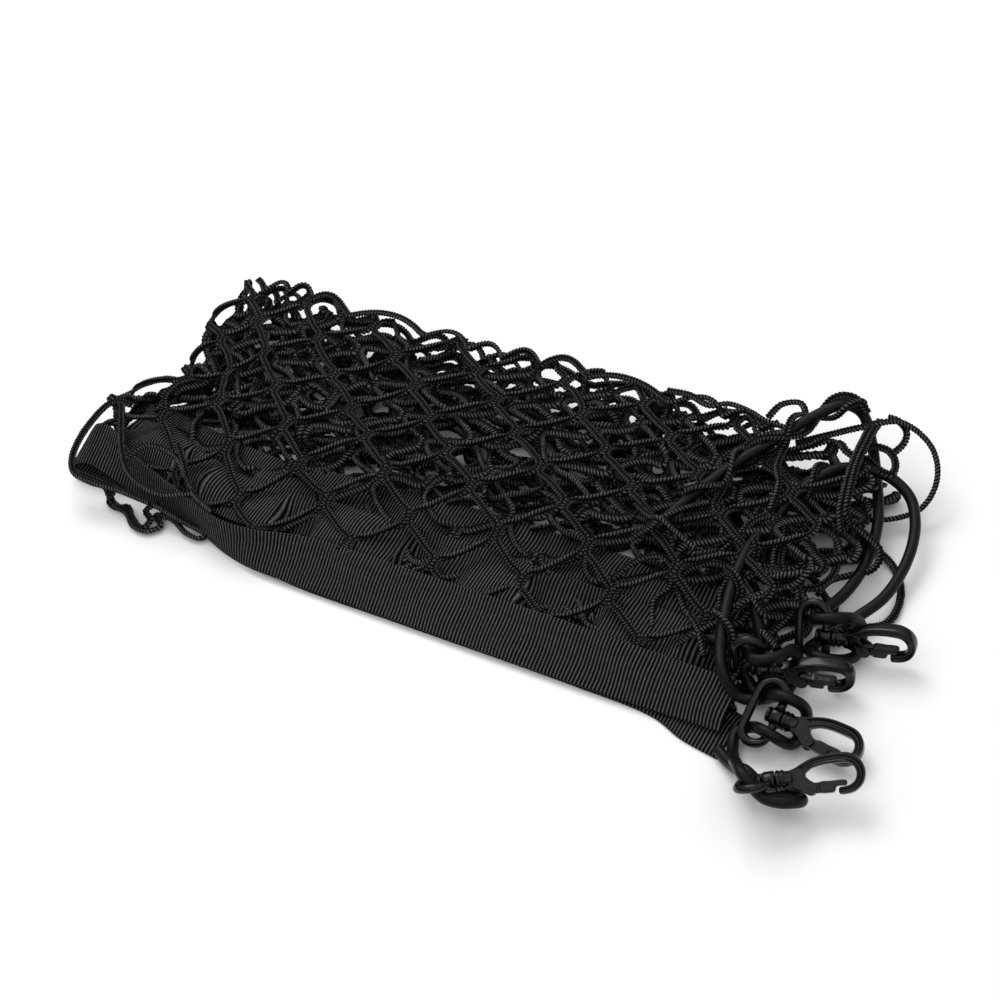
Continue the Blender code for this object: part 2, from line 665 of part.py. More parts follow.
def main():
    clear_scene()
    build_net()
    add_object("outer_binding", tape_mesh("outer_binding", outer_rows()), "tape")
    add_object("inner_binding", tape_mesh("inner_binding", inner_rows()), "tape")
    build_hooks()
    build_cords()


main()
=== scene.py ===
"""Looks of the folded cargo net: knitted mesh cords, ribbed webbing, elastic cords and snap hooks.

Lengths are in millimetres until a piece is made, then metres. The frame is the part's own: +X along
the pack towards the hooks, +Y to its rear edge, +Z up, origin on the surface under its middle.
"""

import math

import bpy
import numpy as np
from mathutils import Matrix, Vector


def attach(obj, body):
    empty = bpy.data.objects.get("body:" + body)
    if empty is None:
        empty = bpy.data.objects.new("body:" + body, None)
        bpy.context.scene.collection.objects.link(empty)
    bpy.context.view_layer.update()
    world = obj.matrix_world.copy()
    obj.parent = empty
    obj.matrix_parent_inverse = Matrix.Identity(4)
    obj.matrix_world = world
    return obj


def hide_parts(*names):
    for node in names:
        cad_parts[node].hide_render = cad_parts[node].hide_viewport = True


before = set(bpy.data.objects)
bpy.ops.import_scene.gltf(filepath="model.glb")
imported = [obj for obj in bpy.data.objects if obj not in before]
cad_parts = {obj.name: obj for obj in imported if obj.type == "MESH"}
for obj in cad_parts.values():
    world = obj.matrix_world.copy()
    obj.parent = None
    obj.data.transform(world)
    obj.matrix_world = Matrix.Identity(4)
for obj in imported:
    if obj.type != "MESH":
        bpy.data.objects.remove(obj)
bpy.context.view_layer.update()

MM = 0.001
SURFACE_GAP = 0.02  # least height of any point over the surface
CORD_GAP = 2.1  # least height of the middle of a net cord
RNG = np.random.default_rng(7)


def add_object(name, data):
    """A new object in the scene with that data."""
    item = bpy.data.objects.new(name, data)
    bpy.context.collection.objects.link(item)
    return item


# ------------------------ camera
AZIMUTH, ELEVATION, ROLL = math.radians(44.0), math.radians(43.0), math.radians(16.0)
CAMERA_PLACE = np.array((567.9, -551.0, 723.5))
LENS, SENSOR = 81.0, 36.0
CLIP_END = 20.0  # metres


def make_camera():
    """The camera at the photograph's place; its matrix rows are right, up and minus the view."""
    level = np.array((math.cos(AZIMUTH), math.sin(AZIMUTH), 0.0))
    view = np.array((-math.sin(AZIMUTH) * math.cos(ELEVATION),
                     math.cos(AZIMUTH) * math.cos(ELEVATION), -math.sin(ELEVATION)))
    upright = np.cross(level, view)
    right = level * math.cos(ROLL) - upright * math.sin(ROLL)
    up = level * math.sin(ROLL) + upright * math.cos(ROLL)
    data = bpy.data.cameras.new("photo_camera")
    data.lens = LENS
    data.sensor_width = SENSOR
    data.clip_end = CLIP_END
    item = add_object("photo_camera", data)
    turn = Matrix((right, up, -view)).transposed().to_4x4()
    item.matrix_world = Matrix.Translation(Vector(CAMERA_PLACE) * MM) @ turn
    bpy.context.scene.camera = item


# ------------------------ curves and surfaces
CURVE_PARTS = 24  # cut between two of a curve's points before it is resampled


def unit(v):
    """Vectors divided by their own lengths."""
    return v / np.maximum(np.linalg.norm(v, axis=-1, keepdims=True), 1e-9)


def ramp(value, start, length):
    """0 up to start, 1 from length beyond it, and 3t^2 - 2t^3 between."""
    t = np.clip((value - start) / length, 0.0, 1.0)
    return t * t * (3.0 - 2.0 * t)


def waves(run, *rows):
    """A sum of sines of run: each row is one's height, its length over tau, and its phase."""
    return sum(height * np.sin(run / length + phase) for height, length, phase in rows)


def read(table, x, column=1):
    """Linear reading at x of one column of a table whose rows start with their own x."""
    rows = np.array(sorted(table))
    return np.interp(x, rows[:, 0], rows[:, column])


def distance_along(path):
    """Distance of each point of a path from its first, along it."""
    return np.concatenate(([0], np.cumsum(np.linalg.norm(np.diff(path, axis=0), axis=1))))


def along_curve(points, step):
    """A centripetal Catmull-Rom curve through the points, resampled to even steps of its length."""
    p = np.asarray(points, float)
    p = np.vstack((2 * p[0] - p[1], p, 2 * p[-1] - p[-2]))
    k = np.sqrt(np.maximum(np.linalg.norm(np.diff(p, axis=0), axis=1), 1e-6))[:, None]
    p0, p1, p2, p3 = p[:-3], p[1:-2], p[2:-1], p[3:]
    k1, k2, k3 = k[:-2], k[1:-1], k[2:]
    m1 = (p2 - p1) + k2 * ((p1 - p0) / k1 - (p2 - p0) / (k1 + k2))
    m2 = (p2 - p1) + k2 * ((p3 - p2) / k3 - (p3 - p1) / (k2 + k3))
    t = np.linspace(0, 1, CURVE_PARTS, endpoint=False)[:, None, None]
    h00, h10 = 2 * t ** 3 - 3 * t ** 2 + 1, t ** 3 - 2 * t ** 2 + t
    h01, h11 = 3 * t ** 2 - 2 * t ** 3, t ** 3 - t ** 2
    fine = (p1 * h00 + m1 * h10 + p2 * h01 + m2 * h11).transpose(1, 0, 2).reshape(-1, p.shape[1])
    fine = np.vstack((fine, p2[-1:]))
    run = distance_along(fine)
    even = np.linspace(0, run[-1], max(3, int(round(run[-1] / step)) + 1))
    return np.column_stack([np.interp(even, run, fine[:, c]) for c in range(p.shape[1])])


def carried_frames(path):
    """Side and top directions along a path, turned as little as possible from point to point."""
    tangent = unit(np.gradient(path, axis=0))
    steep = abs(tangent[0, 2]) >= 0.9
    top = np.array((1.0, 0.0, 0.0) if steep else (0.0, 0.0, 1.0))
    tops = []
    for t in tangent:
        top = top - t * (top @ t)
        top = top / np.linalg.norm(top)
        tops.append(top)
    return np.cross(tangent, tops), np.array(tops)


def tube_rings(path, side, top, x, y):
    """Rings whose section points stand at x along side and y along top: (stations, places)."""
    return path[:, None] + side[:, None] * x[..., None] + top[:, None] * y[..., None]


def round_angles(places):
    """Even angles once round a circle."""
    return np.linspace(0, math.tau, places, endpoint=False)


def enclosed(points, faces):
    """Six times the volume behind faces of one number of corners, each cut into a fan."""
    p = points[faces] - points.mean(axis=0)
    return (np.cross(p[:, 1:-1], p[:, 2:]) * p[:, :1]).sum()


class Cloth:
    """Collects closed tubes and strips into one mesh: points, quads, end caps and UV in mm."""

    def __init__(self):
        """Starts with nothing collected."""
        self.points, self.quads, self.caps, self.uv = [], [], [], []
        self.count = 0

    def add(self, rings, along, around, looped=False, shift=0.0):
        """Quads from each ring to the next, facing outwards.

        rings is (stations, places round the section, 3). along, one distance a ring or a point,
        and around, one a place and one more, are the UV in mm; shift, one a place, is added to
        the distance along. A looped tube runs back into its first ring; others get end caps.
        """
        n, k = rings.shape[:2]
        points = rings.reshape(-1, 3)
        index = np.arange(n * k).reshape(n, k)
        caps = np.zeros((0, k), int) if looped else np.stack((index[0, ::-1], index[-1]))
        near = np.vstack((index, index[:1])) if looped else index
        wide = np.hstack((near, near[:, :1]))
        u = (along if along.ndim == 2 else along[:, None]) + np.zeros(k + 1) + shift
        uv = np.stack((u, np.broadcast_to(around, u.shape)), axis=-1)
        corners = (np.s_[:-1, :-1], np.s_[:-1, 1:], np.s_[1:, 1:], np.s_[1:, :-1])
        quads = np.stack([wide[c] for c in corners], axis=-1).reshape(-1, 4)
        uv = np.stack([uv[c] for c in corners], axis=2).reshape(-1, 4, 2)
        if enclosed(points, quads) + (0 if looped else enclosed(points, caps)) < 0:
            quads, uv, caps = quads[:, ::-1], uv[:, ::-1], caps[:, ::-1]
        self.points.append(points)
        self.quads.append(quads + self.count)
        self.uv.append(uv.reshape(-1, 2))
        self.caps += list(caps + self.count)
        self.count += n * k

    def make(self, name, finish):
        """The collected surfaces as one smooth object with that finish, none of it below zero."""
        points = np.concatenate(self.points)
        points[:, 2] = np.maximum(points[:, 2], SURFACE_GAP)
        points *= MM
        quads = np.concatenate(self.quads)
        loops = np.concatenate([quads.ravel()] + self.caps)
        sizes = np.concatenate((np.full(len(quads), 4), [len(c) for c in self.caps]))
        mesh = bpy.data.meshes.new(name)
        mesh.vertices.add(len(points))
        mesh.vertices.foreach_set("co", points.ravel())
        mesh.loops.add(len(loops))
        mesh.loops.foreach_set("vertex_index", loops.astype(np.int32))
        mesh.polygons.add(len(sizes))
        mesh.polygons.foreach_set("loop_start", (np.cumsum(sizes) - sizes).astype(np.int32))
        mesh.update(calc_edges=True)
        layer = mesh.uv_layers.new(name="cloth_mm")
        flat = np.zeros((len(loops), 2))
        flat[:len(quads) * 4] = np.concatenate(self.uv)
        layer.data.foreach_set("uv", flat.ravel())
        mesh.shade_smooth()
        mesh.materials.append(finish)
        return add_object(name, mesh)


# ------------------------ finishes
# Real spacings that the patterns follow
STITCH = 1.6  # length of one stitch of the net cord
CORD_GIRTH = 12.0  # once round the net cord
RIB_PITCH = 1.8  # of the webbing, as the photograph shows it
YARN_PITCH = 1.05  # of the webbing's warp
PLAIT_PITCH = 0.8  # of the elastic's braid, drawn coarser than it is so that it shows
PLAIT_ANGLE = 40.0


def linear(code):
    """A hex sRGB colour as linear RGBA."""
    parts = [int(code[i:i + 2], 16) / 255.0 for i in (1, 3, 5)]
    parts = [c / 12.92 if c <= 0.04045 else ((c + 0.055) / 1.055) ** 2.4 for c in parts]
    return (*parts, 1.0)


def wave_scale(pitch):
    """Scale at which Blender's wave texture, a sine of 20 x scale, repeats once every pitch."""
    return math.tau / 20.0 / pitch


def add_node(tree, kind, settings=None, out=0, **links):
    """Adds one shader node and returns its output of that name or number.

    settings are its plain settings. links are its inputs, each a value or another node's output,
    named as in Blender, or _0, _1 and so on where several share a name: on a Mix node _0 is the
    factor, and _6 and _7 are the two colours.
    """
    node = tree.nodes.new("ShaderNode" + kind)
    for key, value in (settings or {}).items():
        setattr(node, key, value)
    for key, value in links.items():
        socket = node.inputs[int(key[1:]) if key[0] == "_" else key.replace("_", " ")]
        if isinstance(value, bpy.types.NodeSocket):
            tree.links.new(value, socket)
        else:
            socket.default_value = value
    return node.outputs[out]


def start_finish(name, roughness, ior, gloss):
    """A new material with its shader's even settings, and its node tree and shader."""
    finish = bpy.data.materials.new(name)
    finish.use_nodes = True
    shader = finish.node_tree.nodes["Principled BSDF"]
    shader.inputs["Roughness"].default_value = roughness
    shader.inputs["IOR"].default_value = ior
    shader.inputs["Specular IOR Level"].default_value = gloss
    return finish, finish.node_tree, shader


def end_finish(tree, shader, mask, colours, height, bump, rough=None, wear=None):
    """Gives a finish its colour, bump and roughness from its patterns.

    mask blends the two colours, and the two values of rough. wear is a share and a noise that
    darkens the colour by it. bump is the strength and the depth in mm of height.
    """
    dark, pale = map(linear, colours)
    # On the knitted cord and the webbing the pale colour is a painted highlight and the dark one
    # the black of the nylon deepened into painted shade.
    colour = add_node(tree, "Mix", {"data_type": "RGBA"}, 2, _0=mask, _6=dark, _7=pale)
    if wear:
        colour = add_node(tree, "Mix", {"data_type": "RGBA", "blend_type": "MULTIPLY"}, 2,
                          _0=wear[0], _6=colour, _7=wear[1])
    tree.links.new(colour, shader.inputs["Base Color"])
    if rough:
        gloss = add_node(tree, "MapRange", Value=mask, To_Min=rough[0], To_Max=rough[1])
        tree.links.new(gloss, shader.inputs["Roughness"])
    normal = add_node(tree, "Bump", Strength=bump[0], Distance=bump[1] * MM, Height=height)
    tree.links.new(normal, shader.inputs["Normal"])


def knitted_nylon_finish():
    """Black warp-knitted polyamide cord: matt filaments drawn into small stitches.

    The stitches are modelled. Here filaments, about 0.14 mm wide and 0.6 mm long, add a bump across
    them. The stitch crests are glossier and painted paler as a painted highlight, and the grooves
    between them are the nylon's black deepened into painted shade. Patches of about 22 mm are a
    little more or less worn.
    """
    finish, tree, shader = start_finish("knitted_nylon", 0.52, 1.53, 0.09)
    place = add_node(tree, "UVMap", {"uv_map": "cloth_mm"})
    strands = add_node(tree, "Mapping", Vector=place, Scale=(1.1, 4.5, 1.0))
    fibres = add_node(tree, "TexNoise", Vector=strands, Scale=1.6, Detail=2.0)
    # The stitches wander, in small turns more than in large ones
    stitch = add_node(tree, "TexWave", {"bands_direction": "X"}, "Fac", Vector=place,
                      Scale=wave_scale(STITCH), Distortion=1.3, Detail=1.0,
                      Detail_Roughness=3.1416)
    lobes = add_node(tree, "TexWave", {"bands_direction": "Y"}, "Fac", Vector=place,
                     Scale=wave_scale(CORD_GIRTH / 2.0))
    open_lobes = add_node(tree, "Math", {"operation": "POWER"}, _0=lobes, _1=0.5)
    stitches = add_node(tree, "Math", {"operation": "MULTIPLY"}, _0=stitch, _1=open_lobes)
    tight = add_node(tree, "Math", {"operation": "POWER"}, _0=stitches, _1=1.9)
    frayed = add_node(tree, "MapRange", Value=fibres, From_Min=0.3, From_Max=0.7,
                      To_Min=0.45, To_Max=1.15)
    crest_and_highlight = add_node(tree, "Math", {"operation": "MULTIPLY", "use_clamp": True},
                     _0=tight, _1=frayed)
    body = add_node(tree, "TexCoord", out="Object")
    patches = add_node(tree, "TexNoise", Vector=body, Scale=45.0, Detail=2.0)
    height = add_node(tree, "Math", {"operation": "MULTIPLY_ADD"}, _0=fibres, _1=0.4, _2=crest_and_highlight)
    # the crest mask paints a highlight on the stitch crests and shade in the grooves between them
    end_finish(tree, shader, crest_and_highlight, ("#020203", "#8d8690"), height, (0.8, 0.6), (1.0, 0.46),
               (0.4, patches))
    return finish


def ribbed_webbing_finish():
    """Black woven polyamide webbing: weft ribs across the tape, each crossed by the warp yarns.

    The ribs are modelled. The warp yarns show as a bump along each rib. The crests of ribs and
    yarns are glossier and painted paler as a painted highlight, the gaps between them are the
    tape's black deepened into painted shade, and fuzz of about 3 mm dulls the tape unevenly.
    """
    finish, tree, shader = start_finish("ribbed_webbing", 0.5, 1.53, 0.07)
    place = add_node(tree, "UVMap", {"uv_map": "cloth_mm"})
    ribs = add_node(tree, "TexWave", {"bands_direction": "X"}, "Fac", Vector=place,
                    Scale=wave_scale(RIB_PITCH), Distortion=0.25, Detail=1.0)
    yarns = add_node(tree, "TexWave", {"bands_direction": "Y"}, "Fac", Vector=place,
                     Scale=wave_scale(YARN_PITCH), Distortion=0.6, Detail=1.0)
    raised = add_node(tree, "Math", {"operation": "POWER"}, _0=ribs, _1=2.6)
    dots = add_node(tree, "MapRange", Value=yarns, To_Min=0.4, To_Max=1.0)
    rib_grid_and_highlight = add_node(tree, "Math", {"operation": "MULTIPLY"}, _0=raised, _1=dots)
    fuzz = add_node(tree, "TexNoise", Vector=place, Scale=0.35, Detail=3.0)
    # the rib grid paints a highlight on the rib and yarn crests and shade in the gaps between them
    end_finish(tree, shader, rib_grid_and_highlight, ("#020203", "#7f7981"), rib_grid_and_highlight, (0.8, 0.5), (1.0, 0.48),
               (0.6, fuzz))
    return finish


def braided_elastic_finish():
    """Black elastic cord: a fine polyester braid, tight over a rubber core, which looks satin."""
    finish, tree, shader = start_finish("braided_elastic", 0.4, 1.5, 0.17)
    place = add_node(tree, "UVMap", {"uv_map": "cloth_mm"})
    plaits = []
    for slope in (PLAIT_ANGLE, -PLAIT_ANGLE):
        slanted = add_node(tree, "Mapping", Vector=place, Rotation=(0, 0, math.radians(slope)))
        plaits.append(add_node(tree, "TexWave", {"bands_direction": "X"}, "Fac", Vector=slanted,
                               Scale=wave_scale(PLAIT_PITCH)))
    braid = add_node(tree, "Math", {"operation": "MULTIPLY"}, _0=plaits[0], _1=plaits[1])
    end_finish(tree, shader, braid, ("#030304", "#111012"), braid, (0.35, 0.2))
    return finish


def moulded_nylon_finish():
    """Black injection-moulded polyamide: satin skin, 0.45 mm grain and 6 mm handling marks."""
    finish, tree, shader = start_finish("moulded_nylon", 0.17, 1.53, 0.26)
    body = add_node(tree, "TexCoord", out="Object")
    grain = add_node(tree, "TexNoise", Vector=body, Scale=2200.0, Detail=2.0)
    marks = add_node(tree, "TexNoise", Vector=body, Scale=160.0, Detail=3.0)
    end_finish(tree, shader, marks, ("#030303", "#09090a"), grain, (0.12, 0.1), (0.1, 0.24))
    return finish


# ------------------------ the fold
PITCH = 4.0  # from one layer to the next
FOLD_HEIGHT = 15.2  # of the half fold's middle
RUN_LEVELS = (14.0, 10.0, 6.0, 2.0)  # of the four runs, from there
REAR_TURN_OUTER, REAR_TURN_INNER = 72.8, 70.0
FRONT_TURN_UPPER, FRONT_TURN_LOWER = -8.0, -46.0
RIGHT_END, LEFT_END = 163.0, -175.0
HALF_FOLD = RIGHT_END - LEFT_END  # cloth before the half fold
FOLD_LENGTH = math.pi * RUN_LEVELS[0]
# Levels, and what they become where the layers are pressed together
LEVELS_FULL = (0.0, 18.4, 28.0, 30.4, 40.0)
LEVELS_FRONT = (0.0, 12.0, 13.2, 15.0, 24.6)
# Where each change of the neat fold starts, and the length over which it grows
PRESSED = (10.0, 47.0)  # forwards
REAR_WAVY = (20.0, 50.0)  # to the rear
PULLED_X = (110.0, 65.0)  # to the left: that end is drawn in
PULLED_Y, PULLED_LESS_Y = (-25.0, 30.0), (14.0, 34.0)  # to the rear
LEFT_PULL, LEFT_RETURN = 26.0, 0.5
EDGE_WAVE, TOP_WAVE = 1.8, 0.04
# Outer binding, upper half: x, rear edge y and z, front edge y and z
OUTER_TOP = (
    (195, -57.5, 15.2, -77.0, 3.6), (160, -57.5, 15.0, -77.5, 2.9), (120, -57.0, 15.0, -78.2, 2.6),
    (30, -57.5, 15.0, -78.2, 2.5), (-35, -60.0, 16.0, -78.2, 2.5), (-60, -68.0, 19.0, -77.5, 2.5),
    (-78, -69.5, 20.0, -73.5, 1.4), (-100, -63.5, 19.5, -66.5, 1.6),
    (-122, -57.5, 19.0, -62.0, 2.4), (-150, -49.0, 20.0, -59.0, 4.6),
    (-175, -38.0, 21.5, -57.5, 11.6),
)
# Outer binding, lower half: x, rear edge y, front edge y
OUTER_LOW = (
    (-175, -38.0, -61.5), (-150, -36.5, -57.5), (-122, -38.5, -59.5), (-100, -42.0, -63.5),
    (-78, -47.5, -69.5), (-60, -50.0, -74.0), (-35, -52.6, -77.4), (30, -52.8, -77.6),
    (120, -52.8, -77.6), (163, -54.4, -79.2), (180, -60.0, -84.8), (199, -64.0, -88.0),
)
# Inner binding: x, rear edge y
INNER_TOP = (
    (181, -34.0), (120, -33.8), (30, -33.2), (-35, -34.5), (-78, -37.0), (-100, -34.5),
    (-122, -29.5), (-150, -21.5), (-175, -14.0),
)
INNER_LOW = (
    (-175, -11.0), (-150, -12.5), (-122, -15.5), (-78, -19.0), (-35, -16.0), (30, -12.6),
    (120, -12.0), (176, -12.0),
)
# Cloth lengths of the four runs, front edge to rear turn and so on, slack included
RUN_CLOTH = (129.8, 108.0, 108.0, 126.0)
RUN_ENDS = np.concatenate(([0.0], np.cumsum(RUN_CLOTH)))
TURN_CLOTH = 4.5  # half the length of cloth that a turn takes


def settled(x, y, level):
    """Where a point of the neat fold lies: pressed flat along the front, drawn in at the left."""
    share = ramp(-y, *PRESSED)
    z = level + (np.interp(level, LEVELS_FULL, LEVELS_FRONT) - level) * share
    z = z * (1.0 + TOP_WAVE * np.sin(x / 41.0 + 0.6) * np.cos(y / 29.0))
    wander = waves(x, (1.0, 31.0, 0.0), (0.7, 13.0, level / 6.0))
    pull = ramp(y, *PULLED_Y) * (1.0 - LEFT_RETURN * ramp(y, *PULLED_LESS_Y))
    moved_x = x + LEFT_PULL * pull * ramp(-x, *PULLED_X)
    return np.stack((moved_x, y + EDGE_WAVE * ramp(y, *REAR_WAVY) * wander, z), axis=-1)


def folded(a, b):
    """Point of the folded net at a along the cloth from its right end and b across it.

    Along, it runs to the left end, goes round the half fold and comes back below. Across, it goes
    to the rear, turns, comes forward, turns again, and so on, one run under the other.
    """
    around = np.clip((a - HALF_FOLD) / FOLD_LENGTH, 0.0, 1.0) * math.pi
    back = np.maximum(a - HALF_FOLD - FOLD_LENGTH, 0.0)
    x = np.where(around > 0.0, LEFT_END + back, RIGHT_END - a)
    share = (1.0 - np.cos(around)) / 2.0
    first = read(OUTER_TOP, x) * (1 - share) + read(OUTER_LOW, x) * share
    last = read(INNER_TOP, x) * (1 - share) + read(INNER_LOW, x) * share
    front = FRONT_TURN_UPPER + (FRONT_TURN_LOWER - FRONT_TURN_UPPER) * share
    ends = (first, REAR_TURN_OUTER, front, REAR_TURN_INNER, last)
    y, level = np.zeros_like(x), np.full_like(x, RUN_LEVELS[0])
    for r in range(4):
        t = (b - RUN_ENDS[r]) / RUN_CLOTH[r]
        inside = (t >= (0 if r else -math.inf)) & (t < (1 if r < 3 else math.inf))
        y = np.where(inside, ends[r] + (ends[r + 1] - ends[r]) * t, y)
        if r:
            near = np.clip((b - RUN_ENDS[r]) / TURN_CLOTH, -1.0, 1.0)
            level = level - PITCH * (1.0 + np.sin(near * math.pi / 2)) / 2.0
            y = y + np.sqrt(1.0 - near ** 2) * PITCH / 2.0 * (1 if r % 2 else -1)
    return settled(x - level * np.sin(around), y, FOLD_HEIGHT + level * np.cos(around))


def cloth_normal(a, b):
    """Outward normal of the folded cloth, from half a millimetre to each side."""
    along = folded(a + 0.5, b) - folded(a - 0.5, b)
    across = folded(a, b + 0.5) - folded(a, b - 0.5)
    return unit(np.cross(across, along))


# ------------------------ net
# Mesh, read off the photograph's upper run: columns of bars and rows of bars
COLUMN_X, COLUMN_START = 22.8, -57.6
COLUMN_SKEW, ROW_SKEW = 2.1, 0.7
ROW_Y, ROW_START = 18.3, 36.3
BAR_HALF = 2.6  # half the length that two cords run side by side
BAR_SIDE = 1.75  # from the bar's middle to each cord's
SLACK = (118.0, 40.0)  # across the cloth: the legs begin to hang slack, and do so fully
BOW, SLACK_BOW = 0.45, 2.3  # how far a leg bows at random, and how much more a slack one does
LIFT, LEG_LIFT = 0.5, 0.4  # height of bars and legs over the cloth
LEG_SHARES = (0.28, 0.72)
TWIST_WEIGHT = 6.0  # millimetres that a radian of twist counts for in a cord's curve
DEPTH = (125.0, 30.0)  # across the cloth: the hidden runs begin, and drift more
DRIFT, DEEP_DRIFT = 1.3, 2.6
SEAM, UNDER_TAPE = 6.0, 0.9  # cords sink under the outer binding along its edge
INNER_SEAM, INNER_DROP = 5.0, 1.1  # and under the inner one
# The cord's two chains of stitches
LOBE_OFFSET, LOBE_RADIUS, LOBE_HEIGHT = 0.95, 0.92, 1.3
GROOVE = 0.55
STITCH_DEPTH, STITCH_SLANT = 0.22, 1.35
TENSION, TENSION_SWING = 0.85, 0.3
TOP_SIZE, LOWER_SIZE = 0.91, 1.12  # cords in full view are drawn out thinner than slack ones


def knit_section(fine):
    """Section of the knitted cord: two round lobes with a groove between, as rows of angles.

    Each row is (x, y, lobe phase, angle in the lobe); the points run once round the section.
    """
    turn = np.radians((-110, -58, 0, 58, 110) if fine else (-100, -34, 34, 100))
    right = np.column_stack((LOBE_OFFSET + LOBE_RADIUS * np.cos(turn),
                             LOBE_HEIGHT * LOBE_RADIUS * np.sin(turn), np.zeros(len(turn)), turn))
    left = right * (-1, -1, 1, 1) + (0, 0, math.pi, 0)
    if not fine:
        return np.vstack((right, left))
    return np.vstack(((0.0, -GROOVE, 0.0, 0.0), right, (0.0, GROOVE, 0.0, 0.0), left))


def knit_tube(cloth, path, side, top, twist, fine, start=0.0):
    """A knitted cord along a path; returns its length.

    The radius of each lobe swells once a stitch, and later on the lobe's flank, which gives chains
    of dots on its wide face and slanting ribs on its narrow one. How much it swells wanders along
    the cord, as the knitting's tension does. twist turns the wide face.
    """
    size = TOP_SIZE if fine else LOWER_SIZE
    section = knit_section(fine) * (size, size, 1.0, 1.0)
    run = distance_along(path) + start
    phase = section[:, 2] + STITCH_SLANT * section[:, 3] * np.sign(section[:, 0])
    wave = np.cos(math.tau * run[:, None] / STITCH + phase[None, :])
    tension = TENSION + TENSION_SWING * np.sin(run / 2.9) * np.sin(run / 6.7 + start)
    swell = 1.0 + STITCH_DEPTH * tension[:, None] * wave
    x, y = section[None, :, 0] * swell, section[None, :, 1] * swell
    cos, sin = np.cos(twist)[:, None], np.sin(twist)[:, None]
    rings = tube_rings(path, side, top, x * cos - y * sin, x * sin + y * cos)
    around = distance_along(np.vstack((section, section[:1]))[:, :2])
    shift = np.append(phase, phase[0]) * STITCH / math.tau
    cloth.add(rings, run, around * CORD_GIRTH / around[-1], shift=shift)
    return float(run[-1] - run[0])


def strand_controls(k, rows):
    """Control points of one zigzag cord: a, b, height over the cloth, turn of its wide face.

    At each row it lies beside its left or its right neighbour for the length of a bar, and between
    rows it crosses to the other in a leg that bows at random.
    """
    controls = []
    for j in rows:
        left = (k + j) % 2 == 0
        column, beyond = (k, k + 1) if left else (k + 1, k)
        aside = BAR_SIDE if left else -BAR_SIDE
        x = COLUMN_START + COLUMN_X * column + ROW_SKEW * j + aside
        b = ROW_START + COLUMN_SKEW * column + ROW_Y * j
        slack = min(1.0, max(0.0, (b - SLACK[0]) / SLACK[1]))
        lift = LIFT * math.sin(1.7 * column + 2.3 * j) * (1 + slack)
        bow = RNG.normal(0.0, BOW + SLACK_BOW * slack, 3)
        across = COLUMN_START + COLUMN_X * beyond + ROW_SKEW * (j + 1) - aside - x
        onward = ROW_START + COLUMN_SKEW * beyond + ROW_Y * (j + 1) - BAR_HALF - b - BAR_HALF
        controls += [(RIGHT_END - x, b - BAR_HALF, lift, 0.0),
                     (RIGHT_END - x, b + BAR_HALF, lift, 0.0)]
        controls += [(RIGHT_END - (x + across * share) + bow[0],
                      b + BAR_HALF + onward * share + bow[1], lift + LEG_LIFT + LEG_LIFT * bow[2],
                      math.pi / 2 if left else 0.0) for share in LEG_SHARES]
    return np.array(controls)


def bar_shift(a, b):
    """Slow drift of the mesh along, across and off the cloth: long sines, and in the hidden runs
    shorter ones too."""
    depth = ramp(b, *DEPTH)
    size = DRIFT + DEEP_DRIFT * depth
    da = size * (np.sin(a / 31.0 + b / 23.0) + 0.6 * depth * np.sin(a / 10.0 - b / 13.0 + 1.3))
    db = size * (np.sin(a / 27.0 - b / 29.0 + 0.7) + 0.6 * depth * np.sin(a / 12.0 + b / 10.0))
    dh = (0.2 + 0.7 * depth) * np.sin(a / 9.0 + 0.5) * np.cos(b / 11.0)
    return np.column_stack((da, db, dh))


def strand_path(controls, step, b_from, b_to):
    """The cord's path, its side and top directions and the turn of its wide face, evenly spaced."""
    even = along_curve(controls * (1, 1, 1, TWIST_WEIGHT), step)
    even[:, :3] += bar_shift(even[:, 0], even[:, 1])
    inside = np.flatnonzero((even[:, 1] > b_from) & (even[:, 1] < b_to))
    a, b, lift, twist = even[inside[0]:inside[-1] + 1].T
    normal = cloth_normal(a, b)
    path = folded(a, b) + normal * lift[:, None]
    path[:, 2] = np.maximum(path[:, 2], CORD_GAP)
    upper = a < HALF_FOLD
    sewn = ramp(SEAM - b, 0.0, SEAM) * upper
    path[:, 2] += sewn * (read(OUTER_TOP, RIGHT_END - a, 2) - UNDER_TAPE - path[:, 2])
    path[:, 2] -= INNER_DROP * ramp(b - RUN_ENDS[-1], -INNER_SEAM, INNER_SEAM) * upper
    tangent = unit(np.gradient(path, axis=0))
    side = unit(np.cross(normal, tangent))
    return path, side, np.cross(tangent, side), twist / TWIST_WEIGHT


# Parts of the net: name, cloth from and to along, from and to across, finely knitted, step
NET_PARTS = (
    ("net_top", -20.0, 372.0, 0.2, 136.0, True, 0.56),
    ("net_middle", -20.0, 372.0, 135.0, 475.0, False, 1.08),
    ("net_fold", 372.0, 560.0, -1.2, 475.0, False, 1.25),
    ("net_bottom", 560.0, 760.0, -1.2, 475.0, False, 1.4),
)
STRANDS = range(-25, 11)
STRAND_SPARE = 3.0  # cloth beyond both edges that a cord is laid over, then cut off
STRAND_END = 2.0  # length that it keeps beyond the inner edge
REAR_ARCH = (
    (158, 67, 27), (172, 75, 30), (186, 81, 34), (199, 90, 33), (214, 88, 25), (221, 78, 17),
    (219, 66, 9.5), (209, 57, 7), (190, 50, 7), (172, 47, 7), (158, 46, 6.5),
)
FLOOR_ARCH = (
    (158, 41, 6), (178, 43, 4.5), (200, 43, 2.6), (218, 36, 2.3), (230, 20, 2.3), (231, 4, 2.3),
    (222, -2, 2.3), (205, -4, 2.3), (184, -4, 3), (168, -3, 5), (158, -3, 6),
)
